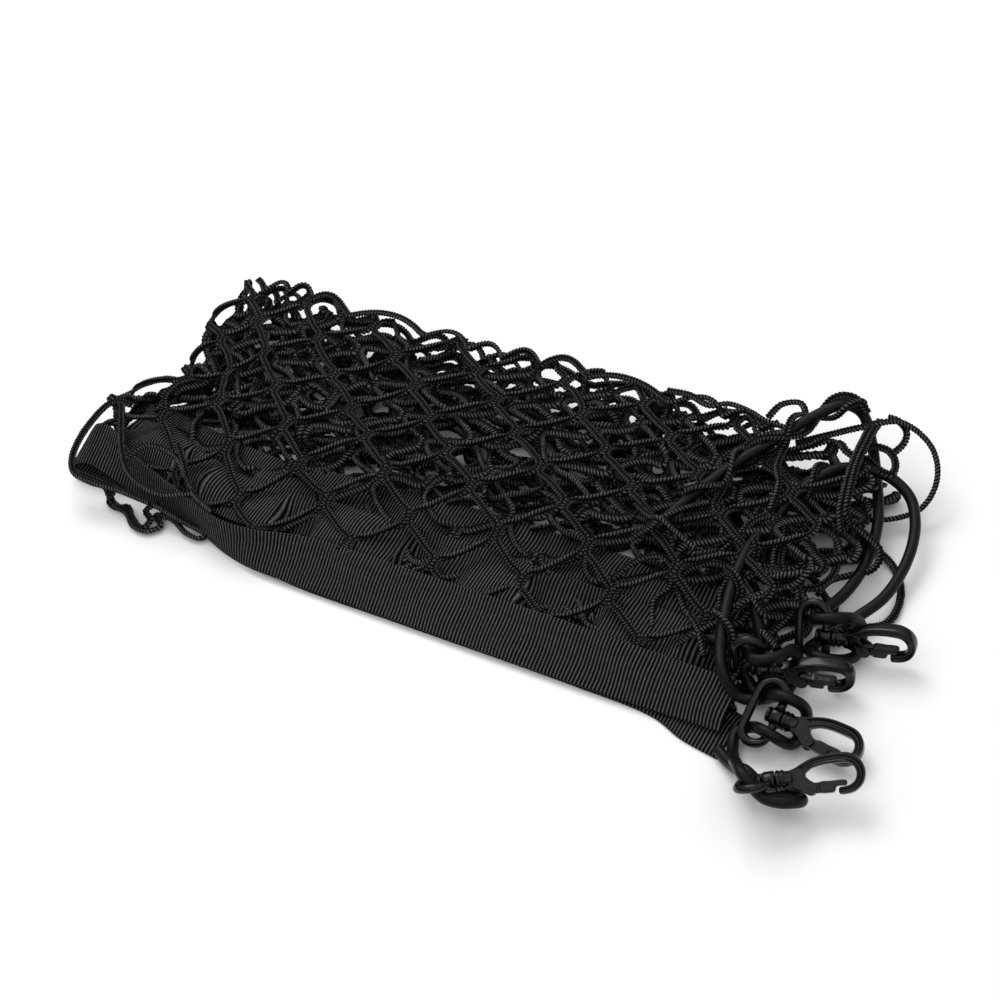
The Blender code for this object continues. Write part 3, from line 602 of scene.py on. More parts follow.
# Meshes pulled out at the ends, read off the photograph
LOOSE_CORDS = (
    # over the sewn-in end of the long elastic cord
    ((112, 4, 31), (124, -3, 34), (131, -5, 37.6), (138, -7, 35), (150, -10, 30)),
    ((120, -14, 30), (127, -8, 34), (130, -5, 36.8), (136, 4, 36.5), (142, 16, 31)),
    # over both ends of the short elastic cord
    ((171, -11, 21), (179, -18, 25), (185, -23, 26.5), (191, -26, 22), (196, -20, 17)),
    ((176, -32, 20), (181, -26, 25.6), (186, -19, 26), (190, -10, 20)),
    ((160, -36, 19), (166, -41, 21), (171, -46, 20.8), (176, -53, 17.5)),
    ((162, -51, 17.5), (168, -46, 21.2), (171, -41, 21), (176, -33, 20)),
    # ring right of the rear arch
    ((189, 85, 33), (189, 78, 31), (189, 69, 29), (191, 76, 28), (199, 77, 27), (204, 73, 25),
     (205, 67, 24), (201, 66, 25), (192, 69, 27), (189, 63, 28)),
    # small ring beside it
    ((201, 77, 26), (203, 84, 27), (202, 89, 29), (197, 92, 31), (192, 92, 32)),
    # double cord down from the arch
    ((188, 85, 34), (190, 70, 35), (192, 57, 35), (196, 40, 34), (198, 32, 31), (201, 26, 26)),
    ((190, 88, 33), (192, 73, 35), (194, 58, 35), (198, 42, 33.5), (200, 34, 30), (202, 33, 24)),
    # ring round the gap at the end
    ((197, 29, 16), (204, 11, 15), (200, 1, 15), (189, -2, 16), (181, 7, 18), (179, 19, 20),
     (184, 27, 21), (193, 29, 20), (200, 25, 16), (203, 13, 12)),
    # from the gap down to the surface
    ((195, 38, 24), (203, 36, 20), (212, 33, 17), (216, 31, 15), (217, 27, 12), (215, 23, 10),
     (208, 17, 10), (202, 11, 10), (201, 1, 11)),
    # ring low at the end
    ((171, -16, 22), (178, -8, 24), (187, -2, 22), (195, -5, 17), (197, -13, 13), (194, -23, 11),
     (191, -31, 10), (188, -39, 10)),
    # loops over the end of the binding
    ((129, -4, 26), (135, 8, 27), (144, 15, 27), (151, 11, 25), (154, 1, 22)),
    ((168, 24, 26), (163, 16, 27), (161, 5, 25), (157, -1, 22), (155, -12, 19)),
    ((168, 23, 27), (175, 23, 24), (177, 17, 21), (176, 11, 19), (179, 2, 17)),
    ((145, -25, 19), (147, -16, 21), (157, -9, 23), (166, -9, 22), (166, -19, 18), (170, -29, 14),
     (176, -38, 11)),
    ((118, -31, 20), (125, -18, 22), (134, -14, 23), (141, -17, 21), (144, -25, 18), (140, -32, 16),
     (144, -43, 12)),
    # along the rear edge
    ((90, 71, 34), (101, 72, 34), (114, 69, 34), (121, 73, 34), (133, 72, 34), (143, 69, 34),
     (154, 68, 34)),
    ((142, 72, 33), (145, 80, 35), (153, 83, 36), (157, 80, 35), (159, 75, 33)),
    # over the end of the top run
    ((136, 41, 33), (142, 52, 34), (149, 61, 35), (156, 66, 35), (162, 78, 36), (167, 87, 36),
     (171, 93, 35), (179, 95, 33)),
    ((156, 66, 35), (159, 56, 34), (161, 45, 33), (166, 37, 32), (168, 24, 28)),
    ((137, 39, 33), (143, 29, 31), (144, 17, 28), (154, 11, 26), (156, 2, 23)),
    # over the left corner of the binding
    ((-168, -25, 26), (-177, -28, 28), (-180, -47, 26), (-177, -64, 22), (-172, -70, 19),
     (-157, -71, 17), (-145, -69, 15), (-125, -69, 13)),
    ((-169, -30, 30), (-148, -56, 27), (-136, -65, 24), (-118, -67, 20), (-102, -61, 20)),
    ((-143, -58, 28), (-137, -49, 30), (-122, -47, 27), (-102, -60, 21)),
    ((-123, -41, 29), (-114, -49, 26), (-102, -60, 21), (-84, -67, 20)),
    # along the foot of the left corner
    ((-173, -69, 18), (-156, -67, 13), (-129, -66, 9), (-108, -68, 6), (-91, -69, 4)),
    # small loops on the surface
    ((-161, -64, 8), (-153, -69, 3), (-143, -71, 2.2), (-133, -77, 2.2), (-124, -77, 2.2),
     (-120, -72, 2.2), (-127, -67, 2.5), (-117, -66, 2.2), (-104, -71, 2.2), (-95, -71, 2.2),
     (-92, -65, 3), (-97, -60, 6)),
    ((-155, -65, 7), (-156, -69, 3), (-149, -70, 2.2), (-145, -68, 2.2), (-138, -73, 2.2),
     (-128, -77, 2.2), (-127, -71, 3), (-132, -68, 4.5), (-127, -63, 7)),
)
# Where each row of rounded waves along the rear edge lies: its height, reach and start
SCALLOPS = ((30.0, 67.0, 0.0), (22.0, 69.0, 1.1), (12.0, 68.0, 2.0))
# Where each wavy cord under the inner binding lies: its height, y and start
SLACK_MESHES = ((8.2, -47.0, 0.3), (5.6, -43.0, 1.9), (5.2, -50.0, 4.0), (2.6, -45.0, 3.1),
                (2.5, -52.0, 5.2))
LOOSE_STEP, HIDDEN_STEP, WOUND_STEP = 0.7, 1.4, 1.5
LOOSE_TWIST = 1.2


def make_net(finish):
    """The mesh panel: every cord zigzags across the cloth from one binding to the other.

    Returns each part's piece, its flat width and length, and the flat area that its cords cover,
    which is their length times half the way round one of them.
    """
    parts = {name: Cloth() for name, *_ in NET_PARTS}
    cord_length = dict.fromkeys(parts, 0.0)
    for k in STRANDS:
        start = ROW_START + COLUMN_SKEW * k
        lowest = math.floor((-STRAND_SPARE - start) / ROW_Y) - 1
        highest = math.ceil((RUN_ENDS[-1] + STRAND_SPARE - start) / ROW_Y) + 1
        controls = strand_controls(k, range(lowest, highest + 1))
        middle_a = RIGHT_END - (COLUMN_START + COLUMN_X * (k + 0.5))
        for name, a_from, a_to, b_from, b_to, fine, step in NET_PARTS:
            if a_from <= middle_a < a_to:
                end = min(b_to, RUN_ENDS[-1] + STRAND_END)
                path, side, top, twist = strand_path(controls, step, b_from, end)
                cord_length[name] += knit_tube(parts[name], path, side, top, twist, fine)
    made = []
    for name, a_from, a_to, b_from, b_to, fine, _ in NET_PARTS:
        flat = (min(b_to, RUN_ENDS[-1]) - max(b_from, 0.0), a_to - a_from)
        covered = cord_length[name] * CORD_GIRTH / 2 * (TOP_SIZE if fine else LOWER_SIZE)
        made.append((parts[name].make(name, finish), flat, covered))
    return made


def wound_round(route, radius, lead, start):
    """A route that winds round another one once every lead, radius away from it."""
    path = along_curve(route, WOUND_STEP)
    side, top = carried_frames(path)
    turn = start + np.arange(len(path)) * WOUND_STEP * math.tau / lead
    return path + radius * (side * np.cos(turn)[:, None] + top * np.sin(turn)[:, None])


def rear_scallops(level, reach, start):
    """Meshes of the inner runs that stand out behind: a row of rounded waves, sizes of a sine."""
    x = np.arange(-172.0, 152.0, 3.0)
    phase = x / 9.0 + start + waves(x, (1.2, 23.0, start))
    y, z = reach + 6.5 * np.abs(np.sin(phase)), level + 3.0 * np.abs(np.sin(phase + 0.4))
    return settled(x, y, z)


def slack_meshes(level, front, start):
    """Meshes of the lower runs that hang under the inner binding: one long uneven wave along x."""
    x = np.arange(-130.0, 172.0, 5.0)
    swing = waves(x, (1.0, 7.3, start), (0.5, 3.9, 2.0 * start))
    return np.column_stack((x, front + 5.0 * swing, level + 1.6 * np.cos(x / 6.1 + start)))


def make_loose_cords(finish):
    """The meshes that hang out of the fold at both ends, and those threaded on the elastic."""
    wound = ((SIDE_END[7:14], 4.3, 31.0, 0.4), (SIDE_END[7:14], 4.3, -43.0, 2.2),
             (SIDE_START[:5], 4.4, 27.0, 1.0), (FRONT_START[1:6], 4.3, 24.0, 2.0))
    seen = [REAR_ARCH, FLOOR_ARCH, *LOOSE_CORDS]
    seen += [wound_round(*row) for row in wound] + [rear_scallops(*row) for row in SCALLOPS]
    hidden = [slack_meshes(*row) for row in SLACK_MESHES]
    cloth = Cloth()
    for routes, step, fine in ((seen, LOOSE_STEP, True), (hidden, HIDDEN_STEP, False)):
        for route in routes:
            path = along_curve(route, step)
            path[:, 2] = np.maximum(path[:, 2], CORD_GAP)
            twist = np.linspace(0.0, LOOSE_TWIST, len(path))
            knit_tube(cloth, path, *carried_frames(path), twist, fine)
    return cloth.make("net_end_loops", finish)


# ------------------------ webbing
TAPE_THICK, TAPE_WIDTH = 1.3, 24.8
# Places across the tape, as shares of its width; the line of stitches sinks in between two
TAPE_SHARES = (0.0, 0.03, 0.14, 0.265, 0.29, 0.315, 0.45, 0.63, 0.82, 0.97, 1.0)
STITCH_LINE, MIDDLE_PLACE = 0.29, 6
TAPE_STEP = RIB_PITCH / 4.0
RIB_HEIGHT, RIB_ROOT = 0.3, 0.12  # of a rib, and how deep it starts in the tape
RIB_EDGE = 1.5  # from the tape's edge in, the ribs grow to their height
RIB_SHARES = (0.15, 0.25)  # of their height in the line of stitches and at the edge
UPPER_LENGTH = 352.0  # of a binding, from the hook end to the half fold
OUTER_LOW_Z = 0.66
OUTER_FOLD_REACH = 13.0
# The inner binding rises where the fold begins, and flattens again before it
ROLL_FROM, ROLL_GROWS, ROLL_FADES, DROP_FADES = 225.0, 50.0, 25.0, 30.0


def outer_edges():
    """Rear and front edge of the outer binding, from the hook end round the half fold and back."""
    top = [(x, ry, rz, x, fy, fz) for x, ry, rz, fy, fz in OUTER_TOP]
    low = [(x, ry, OUTER_LOW_Z, x, fy, OUTER_LOW_Z) for x, ry, fy in OUTER_LOW]
    angle = np.linspace(0, math.pi, 8)[1:-1]
    share = ((1 - np.cos(angle)) / 2)[:, None]
    fold = np.array(top[-1]) * (1 - share) + np.array(low[0]) * share
    fold[:, (0, 3)] -= OUTER_FOLD_REACH * np.sin(angle)[:, None]
    return np.vstack((top, fold, low))


def inner_edges():
    """Rear and front edge of the inner binding, which follows the innermost run."""
    angle = np.linspace(0, math.pi, 6)[1:-1]
    share = (1 - np.cos(angle)) / 2
    turn_y = INNER_TOP[-1][1] * (1 - share) + INNER_LOW[0][1] * share
    x, y, turn = np.vstack((
        [(x, y, 0.0) for x, y in INNER_TOP],
        np.column_stack((np.full(len(angle), LEFT_END), turn_y, angle)),
        [(x, y, math.pi) for x, y in INNER_LOW])).T
    height = FOLD_HEIGHT + RUN_LEVELS[3] * np.cos(turn)
    x = x - RUN_LEVELS[3] * np.sin(turn)
    return np.hstack((settled(x, y, height), settled(x, y - TAPE_WIDTH, height)))


def make_webbing(name, edges, puff, roll, dip, finish):
    """A strip between two edges, its surface raised in ribs across it; returns its length too.

    Along the tape at s and across it at t the surface stands off the middle sheet by half the
    thickness plus a rib height times the size of sin(pi s / rib pitch), less towards the edges.
    The tape's middle rises and sinks by puff in slow waves along it, and rises by roll near the
    half fold. On the upper half the tape tilts about its rear edge now and then, so that its front
    edge hangs by up to dip.
    """
    fine = along_curve(edges, TAPE_STEP * math.sqrt(2.0))
    share = np.array(TAPE_SHARES)
    rear, front = fine[:, None, :3], fine[:, None, 3:]
    sheet = rear + (front - rear) * share[None, :, None]
    run = distance_along(sheet[:, MIDDLE_PLACE])
    hollow = ramp(waves(run, (1.0, 11.5, 0.9), (0.5, 5.3, 2.0)), 0.0, 1.0)
    drop = dip * hollow * ramp(UPPER_LENGTH - run, 0.0, DROP_FADES)
    sheet = rear + (sheet - rear) * np.sqrt(1.0 - (drop / TAPE_WIDTH) ** 2)[:, None, None]
    sheet[..., 2] -= drop[:, None] * share
    normal = unit(np.cross(np.gradient(sheet, axis=0), np.gradient(sheet, axis=1)))
    far = run[:, None]
    woven = far + waves(far, (0.35, 21.0, math.tau * share), (0.2, 5.7, 5 * share))
    in_stitches, at_edge = RIB_SHARES
    from_edge = np.minimum(share, 1 - share) * TAPE_WIDTH / RIB_EDGE
    low = np.where(share == STITCH_LINE, in_stitches, np.clip(from_edge, at_edge, 1.0))
    rib = np.abs(np.sin(math.pi * woven / RIB_PITCH)) * RIB_HEIGHT * low
    rise = puff * waves(run, (1.0, 16.0, 1.0), (0.6, 7.3, 0.0))
    rise += roll * ramp(run, ROLL_FROM, ROLL_GROWS) * ramp(UPPER_LENGTH - run, 0.0, ROLL_FADES)
    slack = rise[:, None] * np.sin(math.pi * share)[None]
    half = TAPE_THICK / 2 - RIB_ROOT + rib
    upper = sheet + normal * (half + slack)[..., None]
    lower = sheet - normal * (half - slack)[..., None]
    rings = np.concatenate((upper, lower[:, ::-1]), axis=1)
    once_round = 2 * (TAPE_WIDTH + TAPE_THICK)
    across = np.concatenate((share * TAPE_WIDTH,
                             once_round / 2 + (1 - share[::-1]) * TAPE_WIDTH, [once_round]))
    cloth = Cloth()
    cloth.add(rings, np.hstack((woven, woven[:, ::-1], woven[:, :1])), across)
    return cloth.make(name, finish), float(run[-1])


# ------------------------ elastic cords
CORD_RADIUS = 2.5
CORD_STEP, CORD_PLACES = 0.9, 20
CUT_LENGTH, CUT_SHARE = 1.2, 0.6  # over which a cut end rounds off, and by how much
# Hooks: name, middle of the eye, a point the nose points to, lean of the eye and of the frame
HOOKS = (
    ("hook_a", (226.0, -102.1, 15.0), (265.8, -79.2, 17.2), -44.0, 34.0),
    ("hook_b", (211.2, -66.4, 12.6), (255.3, -66.5, 7.2), 24.0, 18.0),
    ("hook_c", (195.4, -50.0, 15.8), (236.4, -34.4, 11.4), 75.0, 90.0),
    ("hook_d", (210.2, -21.2, 12.2), (253.2, -11.2, 14.0), 49.0, 78.0),
)
# How an elastic cord runs through a hook's eye, in the eye's own directions
WRAP_D = (
    (-3.2, -6.8, -5.0), (0.0, -7.2, 0.0), (3.2, -7.8, 5.0), (9.0, -8.6, 5.4), (14.5, -8.9, 1.5),
    (17.8, -7.0, -5.9), (18.6, 0.0, -9.2), (17.8, 7.0, -5.9), (14.5, 8.9, 1.5), (9.0, 8.6, 5.4),
    (3.2, 7.8, 5.0), (0.0, 7.2, 0.0), (-3.2, 6.8, -5.0),
)
WRAP_B = (
    (-3.2, 6.3, -5.0), (0.0, 7.0, 0.0), (3.2, 7.8, 5.0), (9.0, 8.4, 5.0), (13.6, 8.6, 1.0),
    (15.5, 6.6, -5.0), (15.9, 0.0, -7.8), (15.5, -6.6, -5.0), (13.6, -8.6, 1.0), (9.0, -8.4, 5.0),
    (3.2, -7.8, 5.0), (0.0, -7.2, 0.0), (-3.2, -6.8, -5.0),
)
WRAP_A = (
    (-3.2, -6.8, 4.7), (0.0, -7.2, 0.0), (3.4, -7.8, -4.9), (10.0, -7.8, -7.6), (15.5, -5.8, -8.4),
    (18.3, 0.0, -9.0), (15.5, 5.0, -7.0), (10.0, 7.0, -5.4), (3.4, 7.8, -4.6), (0.0, 7.2, 0.2),
    (-3.2, 6.8, 4.7),
)
WRAP_C = (
    (-3.2, -6.4, -5.0), (0.0, -6.8, 0.0), (3.2, -8.0, 4.9), (9.0, -10.4, 4.6), (14.5, -11.4, 1.2),
    (18.2, -8.4, -5.4), (19.2, -0.5, -9.8), (17.8, 6.8, -5.9), (14.5, 9.0, 1.5), (9.0, 8.8, 5.4),
    (3.2, 7.8, 5.0), (0.2, 7.2, -0.4), (-2.4, 6.8, -6.0), (-5.6, 6.0, -9.0),
)
FRONT_START = (
    (168.5, 16, 24), (168.5, 5, 26), (170.5, -9, 27), (175, -27, 27), (179.5, -40, 26),
    (183.2, -50, 23.5), (189.3, -60, 20.5), (197.4, -62.3, 10.5),
)
FRONT_MIDDLE = ((201.5, -74.5, 5.0), (204, -82.5, 4.8), (210, -91, 9), (216, -98, 18.5))
FRONT_END = ((210.5, -92, 5.2), (204, -88.5, 3.3), (197.5, -84.5, 3.2))
SIDE_START = (
    (168.5, 22, 21), (171.5, 34, 25), (177, 48, 28), (185, 59, 28), (195, 65, 25), (205, 67, 21),
    (215, 63, 17), (221.5, 54, 13.5), (225.5, 42, 10.5), (227, 27, 8.2), (226, 12, 7.8),
    (221, -1, 7.8), (214.5, -11, 5.8),
)
SIDE_END = (
    (208, -9, 13.5), (211, 6, 10.5), (211.5, 22, 10), (209.5, 38, 11.5), (204.5, 53, 14),
    (197, 67, 18), (188.5, 81, 25), (181.5, 88, 34), (175, 84, 41), (165, 73, 40),
    (154.5, 58, 36.5), (145, 43, 34.6), (139, 29, 34), (134, 13, 33.8), (130, -3, 33.6),
)
INNER_START = ((184, -22, 22.5), (190, -30, 17), (193, -38.5, 9))
INNER_END = ((182, -42.5, 18.4), (176, -43, 17.2), (169, -43.5, 17))
FRONT_SOFTENING = 12


def hook_directions(eye, towards, lean):
    """Rows: along the hook, the direction leaned over the horizontal, and their normal."""
    along = unit(np.subtract(towards, eye).astype(float))
    level = unit(np.cross((0.0, 0.0, 1.0), along))
    upward = np.cross(along, level)
    wide = level * math.cos(math.radians(lean)) + upward * math.sin(math.radians(lean))
    return np.array((along, wide, np.cross(along, wide)))


def round_hook(name, points):
    """Points given in a hook eye's own directions, in the frame's."""
    _, eye, towards, lean, _ = next(h for h in HOOKS if h[0] == name)
    return [tuple(p) for p in np.array(points) @ hook_directions(eye, towards, lean) + eye]


def make_elastic(name, route, softening, finish):
    """An elastic cord as a round tube along its route, with softly rounded cut ends.

    The rubber core resists sharp turns, so each point but the ends is moved to the mean of itself
    and the mean of its neighbours, softening times over.
    """
    path = along_curve(route, CORD_STEP)
    for _ in range(softening):
        path[1:-1] = path[1:-1] / 2 + (path[:-2] + path[2:]) / 4
    run = distance_along(path)
    from_end = np.clip(np.minimum(run, run[-1] - run) / CUT_LENGTH, 0, 1)
    radius = CORD_RADIUS * np.sqrt(np.clip(1 - (1 - from_end) ** 2 * CUT_SHARE, 0, 1))[:, None]
    angle = round_angles(CORD_PLACES)
    rings = tube_rings(path, *carried_frames(path), radius * np.cos(angle), radius * np.sin(angle))
    cloth = Cloth()
    cloth.add(rings, run, np.linspace(0, math.tau * CORD_RADIUS, CORD_PLACES + 1))
    item = cloth.make(name + "_cord", finish)
    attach(item, "net")
    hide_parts(name)


def make_elastics(finish):
    """The three elastic cords, each from the fold through its hooks' eyes and back."""
    front = (*FRONT_START, *round_hook("hook_b", WRAP_B), *FRONT_MIDDLE,
             *round_hook("hook_a", WRAP_A), *FRONT_END)
    side = (*SIDE_START, *round_hook("hook_d", WRAP_D), *SIDE_END)
    inner = (*INNER_START, *round_hook("hook_c", WRAP_C), *INNER_END)
    make_elastic("elastic_front", front, FRONT_SOFTENING, finish)
    make_elastic("elastic_side", side, 0, finish)
    make_elastic("elastic_inner", inner, 0, finish)


# ------------------------ snap hooks
# A hook's own directions are u along it, v across it and w through it, from the eye's middle.
# The distances that its surfaces give as UV are rough, because its material reads none.
EYE_BAR, EYE_HALF, EYE_BEND = 1.9, 8.0, 5.8
EYE_STEP, EYE_PLACES = 0.8, 16
BOSS_RADIUS, BOSS_FROM, BOSS_TO, BORE = 4.2, 3.6, 8.6, 2.3
NOSE_CENTRE, NOSE_OUTER, NOSE_INNER = 36.1, 8.2, 4.6
PIVOT = (22.0, -4.5)
# Turned pieces as rows of u and radius: the bored boss, the post with its head, and the collar
BOSS = (
    (BOSS_FROM, BORE + 0.3), (BOSS_FROM, 3.4), (BOSS_FROM + 0.3, 3.9),
    (BOSS_FROM + 0.9, BOSS_RADIUS), (BOSS_TO - 0.5, BOSS_RADIUS),
    (BOSS_TO - 0.1, BOSS_RADIUS - 0.3), (BOSS_TO, 3.5), (BOSS_TO, BORE + 0.3),
    (BOSS_TO - 0.3, BORE), (BOSS_FROM + 0.3, BORE),
)
POST = (
    (1.45, 1.2), (1.4, 2.4), (1.6, 3.0), (2.2, 3.3), (2.9, 3.2), (3.2, 2.6), (3.25, 2.0),
    (8.8, 2.0),
)
COLLAR = (
    (8.9, 2.0), (8.9, 3.7), (9.2, 4.15), (9.8, 4.2), (10.3, 3.9), (10.6, 3.55), (10.9, 3.9),
    (11.3, 4.2), (11.8, 4.1), (12.2, 3.7), (12.8, 3.5), (15.0, 3.4), (15.6, 3.0), (15.8, 1.0),
)
# Outer and inner edge of the bar: u and v before the nose's arc and after it
OUTER_BACK = ((13.2, 3.2), (15.0, 3.5), (17.0, 4.2), (20.0, 5.7), (23.5, 7.1), (28.0, 8.05))
OUTER_TIP = ((34.0, -8.2), (32.9, -8.0))
INNER_BACK = ((13.2, -0.2), (15.0, 0.0), (17.5, 0.5), (20.6, 1.5), (23.4, 3.2), (28.0, 4.15))
INNER_TIP = ((34.6, -5.2), (33.0, -5.35))
# Section of the bar: shares of the way from its inner to its outer edge, and half its thickness
BAR_SHARES = (0.0, 0.03, 0.12, 0.24, 0.36, 0.44, 0.6, 0.68, 0.76, 0.88, 0.97, 1.0)
BAR_THICK = (1.2, 1.9, 2.35, 2.3, 1.85, 1.6, 1.6, 1.9, 2.6, 2.8, 2.3, 1.5)
BAR_STATIONS = 90
BAR_TIPS, BAR_SLIMMER = 60.0, 0.45  # the last sixtieth each way narrows by that share
# Flat outlines in u and v
SHOULDER = (
    (13.4, 3.1), (17.0, 3.9), (20.5, 3.0), (20.6, 0.4), (19.2, -1.2), (18.6, -4.6), (16.6, -4.1),
    (13.4, -3.1),
)
EAR_BACK, EAR_FOOT = ((16.2, 1.6), (19.6, 1.4), (21.4, -0.6)), ((17.6, -4.7), (15.6, -3.4))
LEVER = (
    (25.2, -6.7), (31.4, -6.7), (32.0, -5.2), (33.0, -4.75), (36.3, -4.6), (36.4, -2.9),
    (31.0, -2.4), (25.2, -2.5),
)
THUMB_PAD = (
    (25.7, -6.8), (28.5, -7.05), (31.3, -6.8), (31.7, -5.0), (36.0, -4.5), (36.1, -3.0),
    (31.0, -2.55), (25.7, -2.65),
)


def turned(cloth, profile, places=28, hollow=False):
    """A turned surface on the hook's axis: each (u, radius) row becomes a circle of that radius.

    A hollow one runs back from its last row into its first.
    """
    u, r = np.array(profile, float).T
    angle = round_angles(places)
    rings = np.stack((np.broadcast_to(u[:, None], (len(u), places)),
                      r[:, None] * np.cos(angle), r[:, None] * np.sin(angle)), axis=-1)
    along = np.arange(len(rings) + hollow, dtype=float)
    cloth.add(rings, along, np.linspace(0, 25, places + 1), looped=hollow)


def arc(centre, radius, start, end, steps):
    """Points on a circle round the centre, from one angle in degrees to another, evenly."""
    angle = np.radians(np.linspace(start, end, steps + 1))
    return np.column_stack((centre[0] + radius * np.cos(angle), centre[1] + radius * np.sin(angle)))


def moulded_plate(cloth, outline, half, rim, lift=0.0):
    """A flat outline in (u, v), thick along w, its rims rounded: rings drawn in at both faces."""
    line = along_curve(np.vstack((outline, outline[:1])), 0.5)[:-1]
    ahead = np.roll(line, -1, axis=0) - np.roll(line, 1, axis=0)
    inward = unit(np.column_stack((-ahead[:, 1], ahead[:, 0])))
    area = np.sum(line[:, 0] * np.roll(line[:, 1], -1) - np.roll(line[:, 0], -1) * line[:, 1])
    inward = inward * np.sign(area)
    turn = np.linspace(0, math.pi / 2, 5)
    draw, step = rim * (1 - np.sin(turn)), rim * (1 - np.cos(turn))
    w = np.concatenate((-half + step, (half - step)[::-1])) + lift
    rings = np.stack([np.column_stack((line + inward * d, np.full(len(line), z)))
                      for d, z in zip(np.concatenate((draw, draw[::-1])), w)])
    if area < 0:
        rings = rings[::-1]
    cloth.add(rings, np.arange(len(rings), dtype=float), np.linspace(0, 40, len(line) + 1))


def eye_surface():
    """The oblong eye: a round bar bent into a loop, and the bored boss in its hook-side bar."""
    cloth = Cloth()
    turn = np.linspace(0, math.pi, 15)
    right = np.column_stack((EYE_BEND * np.cos(turn), EYE_HALF + EYE_BEND * np.sin(turn)))
    centre = along_curve(np.vstack((right, -right, right[:1])), EYE_STEP)[:-1]
    nearest = np.clip(centre[:, 1], -EYE_HALF, EYE_HALF)
    out = unit(np.column_stack((centre[:, 0], centre[:, 1] - nearest)))
    angle = round_angles(EYE_PLACES)
    flat = centre[:, None] + out[:, None] * (EYE_BAR * np.cos(angle))[:, None]
    w = np.broadcast_to(EYE_BAR * np.sin(angle), (len(centre), EYE_PLACES))
    rings = np.concatenate((flat, w[..., None]), axis=-1)
    along = np.arange(len(rings) + 1) * EYE_STEP
    cloth.add(rings, along, np.linspace(0, 12, EYE_PLACES + 1), looped=True)
    turned(cloth, BOSS, hollow=True)
    return cloth


def frame_surface():
    """The hook frame: post and collar, the ridged bar that bends round the nose, the gate's fork.

    The bar is a ridged section carried between an inner and an outer edge: a raised bead along each
    edge and a sunk web between them.
    """
    cloth = Cloth()
    turned(cloth, POST)
    turned(cloth, COLLAR)
    spread = np.linspace(0, 1, BAR_STATIONS)
    outer = arc((NOSE_CENTRE, 0.0), NOSE_OUTER, 90, -84, 16)
    inner = arc((NOSE_CENTRE, -0.4), NOSE_INNER, 90, -78, 16)
    edges = []
    for line in ((OUTER_BACK, outer, OUTER_TIP), (INNER_BACK, inner, INNER_TIP)):
        fine = along_curve(np.vstack(line), 0.2)
        place = np.linspace(0, 1, len(fine))
        edges.append(np.column_stack([np.interp(spread, place, fine[:, c]) for c in (0, 1)]))
    reach, thick = np.array(BAR_SHARES), np.array(BAR_THICK)
    share = np.concatenate((reach, reach[::-1]))
    w = np.concatenate((-thick, thick[::-1]))
    end = np.clip(np.minimum(spread, 1 - spread) * BAR_TIPS, 0, 1)
    slim = (1.0 - BAR_SLIMMER * (1 - end) ** 2)[:, None]
    middle = (edges[0] + edges[1]) / 2
    out, into = (middle + (e - middle) * slim for e in edges)
    uv = into[:, None] + (out - into)[:, None] * share[None, :, None]
    rings = np.concatenate((uv, (w[None, :] * slim)[..., None]), axis=-1)
    cloth.add(rings, spread * 60, np.linspace(0, 16, len(share) + 1))
    moulded_plate(cloth, np.array(SHOULDER), 2.55, 0.7)
    ear = np.vstack((EAR_BACK, arc(PIVOT, 2.75, 66, -122, 9), EAR_FOOT))
    for way in (-1, 1):
        moulded_plate(cloth, ear, 0.5, 0.25, way * 2.32)
    moulded_plate(cloth, arc(PIVOT, 0.9, 0, 345, 12), 3.0, 0.2)
    return cloth


def gate_surface():
    """The gate: a lever with its knuckle on the pin, a ridged thumb pad and a thin tongue."""
    cloth = Cloth()
    moulded_plate(cloth, np.vstack((arc(PIVOT, 2.2, 100, 262, 9), LEVER)), 1.5, 0.35)
    moulded_plate(cloth, np.array(THUMB_PAD), 2.28, 0.45)
    return cloth


def make_hooks(finish):
    """Each hook as three pieces: its eye on the net, its frame and its gate on their own bodies."""
    pieces = (("eye", eye_surface), ("frame", frame_surface), ("gate", gate_surface))
    for name, eye, towards, eye_lean, frame_lean in HOOKS:
        for part, surface in pieces:
            cloth = surface()
            turn = hook_directions(eye, towards, eye_lean if part == "eye" else frame_lean)
            cloth.points = [p @ turn + eye for p in cloth.points]
            item = cloth.make(f"{name}_{part}_moulding", finish)
            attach(item, {"eye": "net", "frame": name, "gate": f"{name}_gate"}[part])
            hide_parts(f"{name}_{part}")


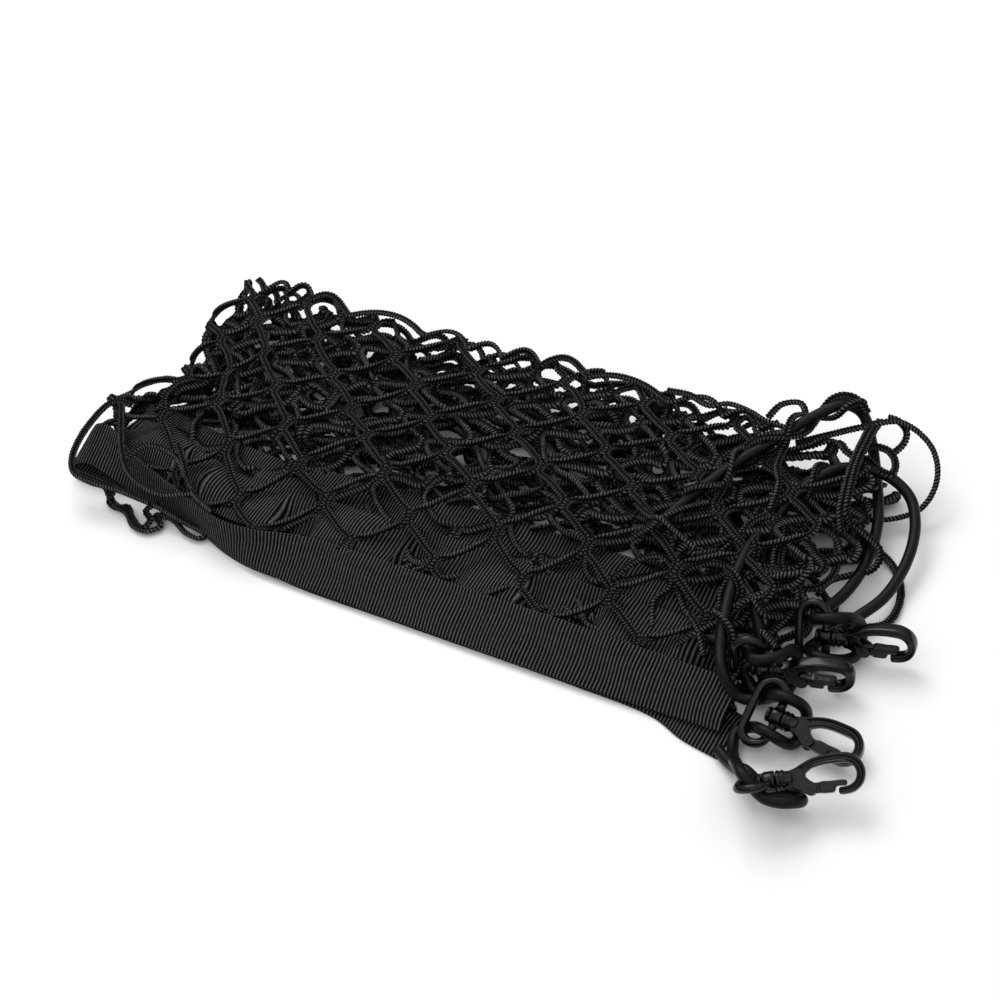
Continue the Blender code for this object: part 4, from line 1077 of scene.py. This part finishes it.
# ------------------------ stage, in metres and watts
FLOOR_HALF, FLOOR_DROP = 6.0, 0.0002
LAMPS = (("key", (-0.5, 0.55, 1.3), 0.9, 10.0), ("front", (0.9, -1.0, 1.1), 1.4, 2.5))
LAMP_AIM = Vector((0.03, 0.0, 0.0))


def make_stage():
    """Plain pale floor, two broad soft lights and a surround that is brighter above."""
    mesh = bpy.data.meshes.new("floor")
    mesh.from_pydata([(x * FLOOR_HALF, y * FLOOR_HALF, -FLOOR_DROP)
                      for x, y in ((-1, -1), (1, -1), (1, 1), (-1, 1))], [], [(0, 1, 2, 3)])
    finish, _, shader = start_finish("pale_floor", 0.9, 1.45, 0.1)
    shader.inputs["Base Color"].default_value = linear("#f4f4f5")
    mesh.materials.append(finish)
    add_object("floor", mesh)
    world = bpy.data.worlds.new("studio")
    world.use_nodes = True
    tree = world.node_tree
    upward = add_node(tree, "SeparateXYZ", out="Z", Vector=add_node(tree, "TexCoord"))
    strength = add_node(tree, "MapRange", Value=upward, From_Min=0.1, From_Max=0.95,
                        To_Min=0.12, To_Max=1.15)
    tree.nodes["Background"].inputs["Color"].default_value = linear("#ffffff")
    tree.links.new(strength, tree.nodes["Background"].inputs["Strength"])
    bpy.context.scene.world = world
    for name, place, size, power in LAMPS:
        lamp = bpy.data.lights.new(name, "AREA")
        lamp.shape = "SQUARE"
        lamp.size = size
        lamp.energy = power
        item = add_object(name, lamp)
        item.location = place
        item.rotation_euler = (LAMP_AIM - item.location).to_track_quat("-Z", "Y").to_euler()
    bpy.context.scene.view_settings.view_transform = "Standard"


# ------------------------ all of it
make_camera()
make_elastics(braided_elastic_finish())

cord_finish = knitted_nylon_finish()
panels = make_net(cord_finish)
end_loops = make_loose_cords(cord_finish)
for panel in [row[0] for row in panels] + [end_loops]:
    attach(panel, "net")
    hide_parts("net_panel")

tape_finish = ribbed_webbing_finish()
# Name, edges, and how far the tape puffs, rolls and dips
for name, edges, *slack in (("outer_binding", outer_edges(), 0.45, 0.0, 0.0),
                            ("inner_binding", inner_edges(), 2.0, 4.5, 11.5)):
    strip, strip_length = make_webbing(name + "_webbing", edges, *slack, tape_finish)
    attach(strip, "net")
    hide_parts(name)

make_hooks(moulded_nylon_finish())
make_stage()
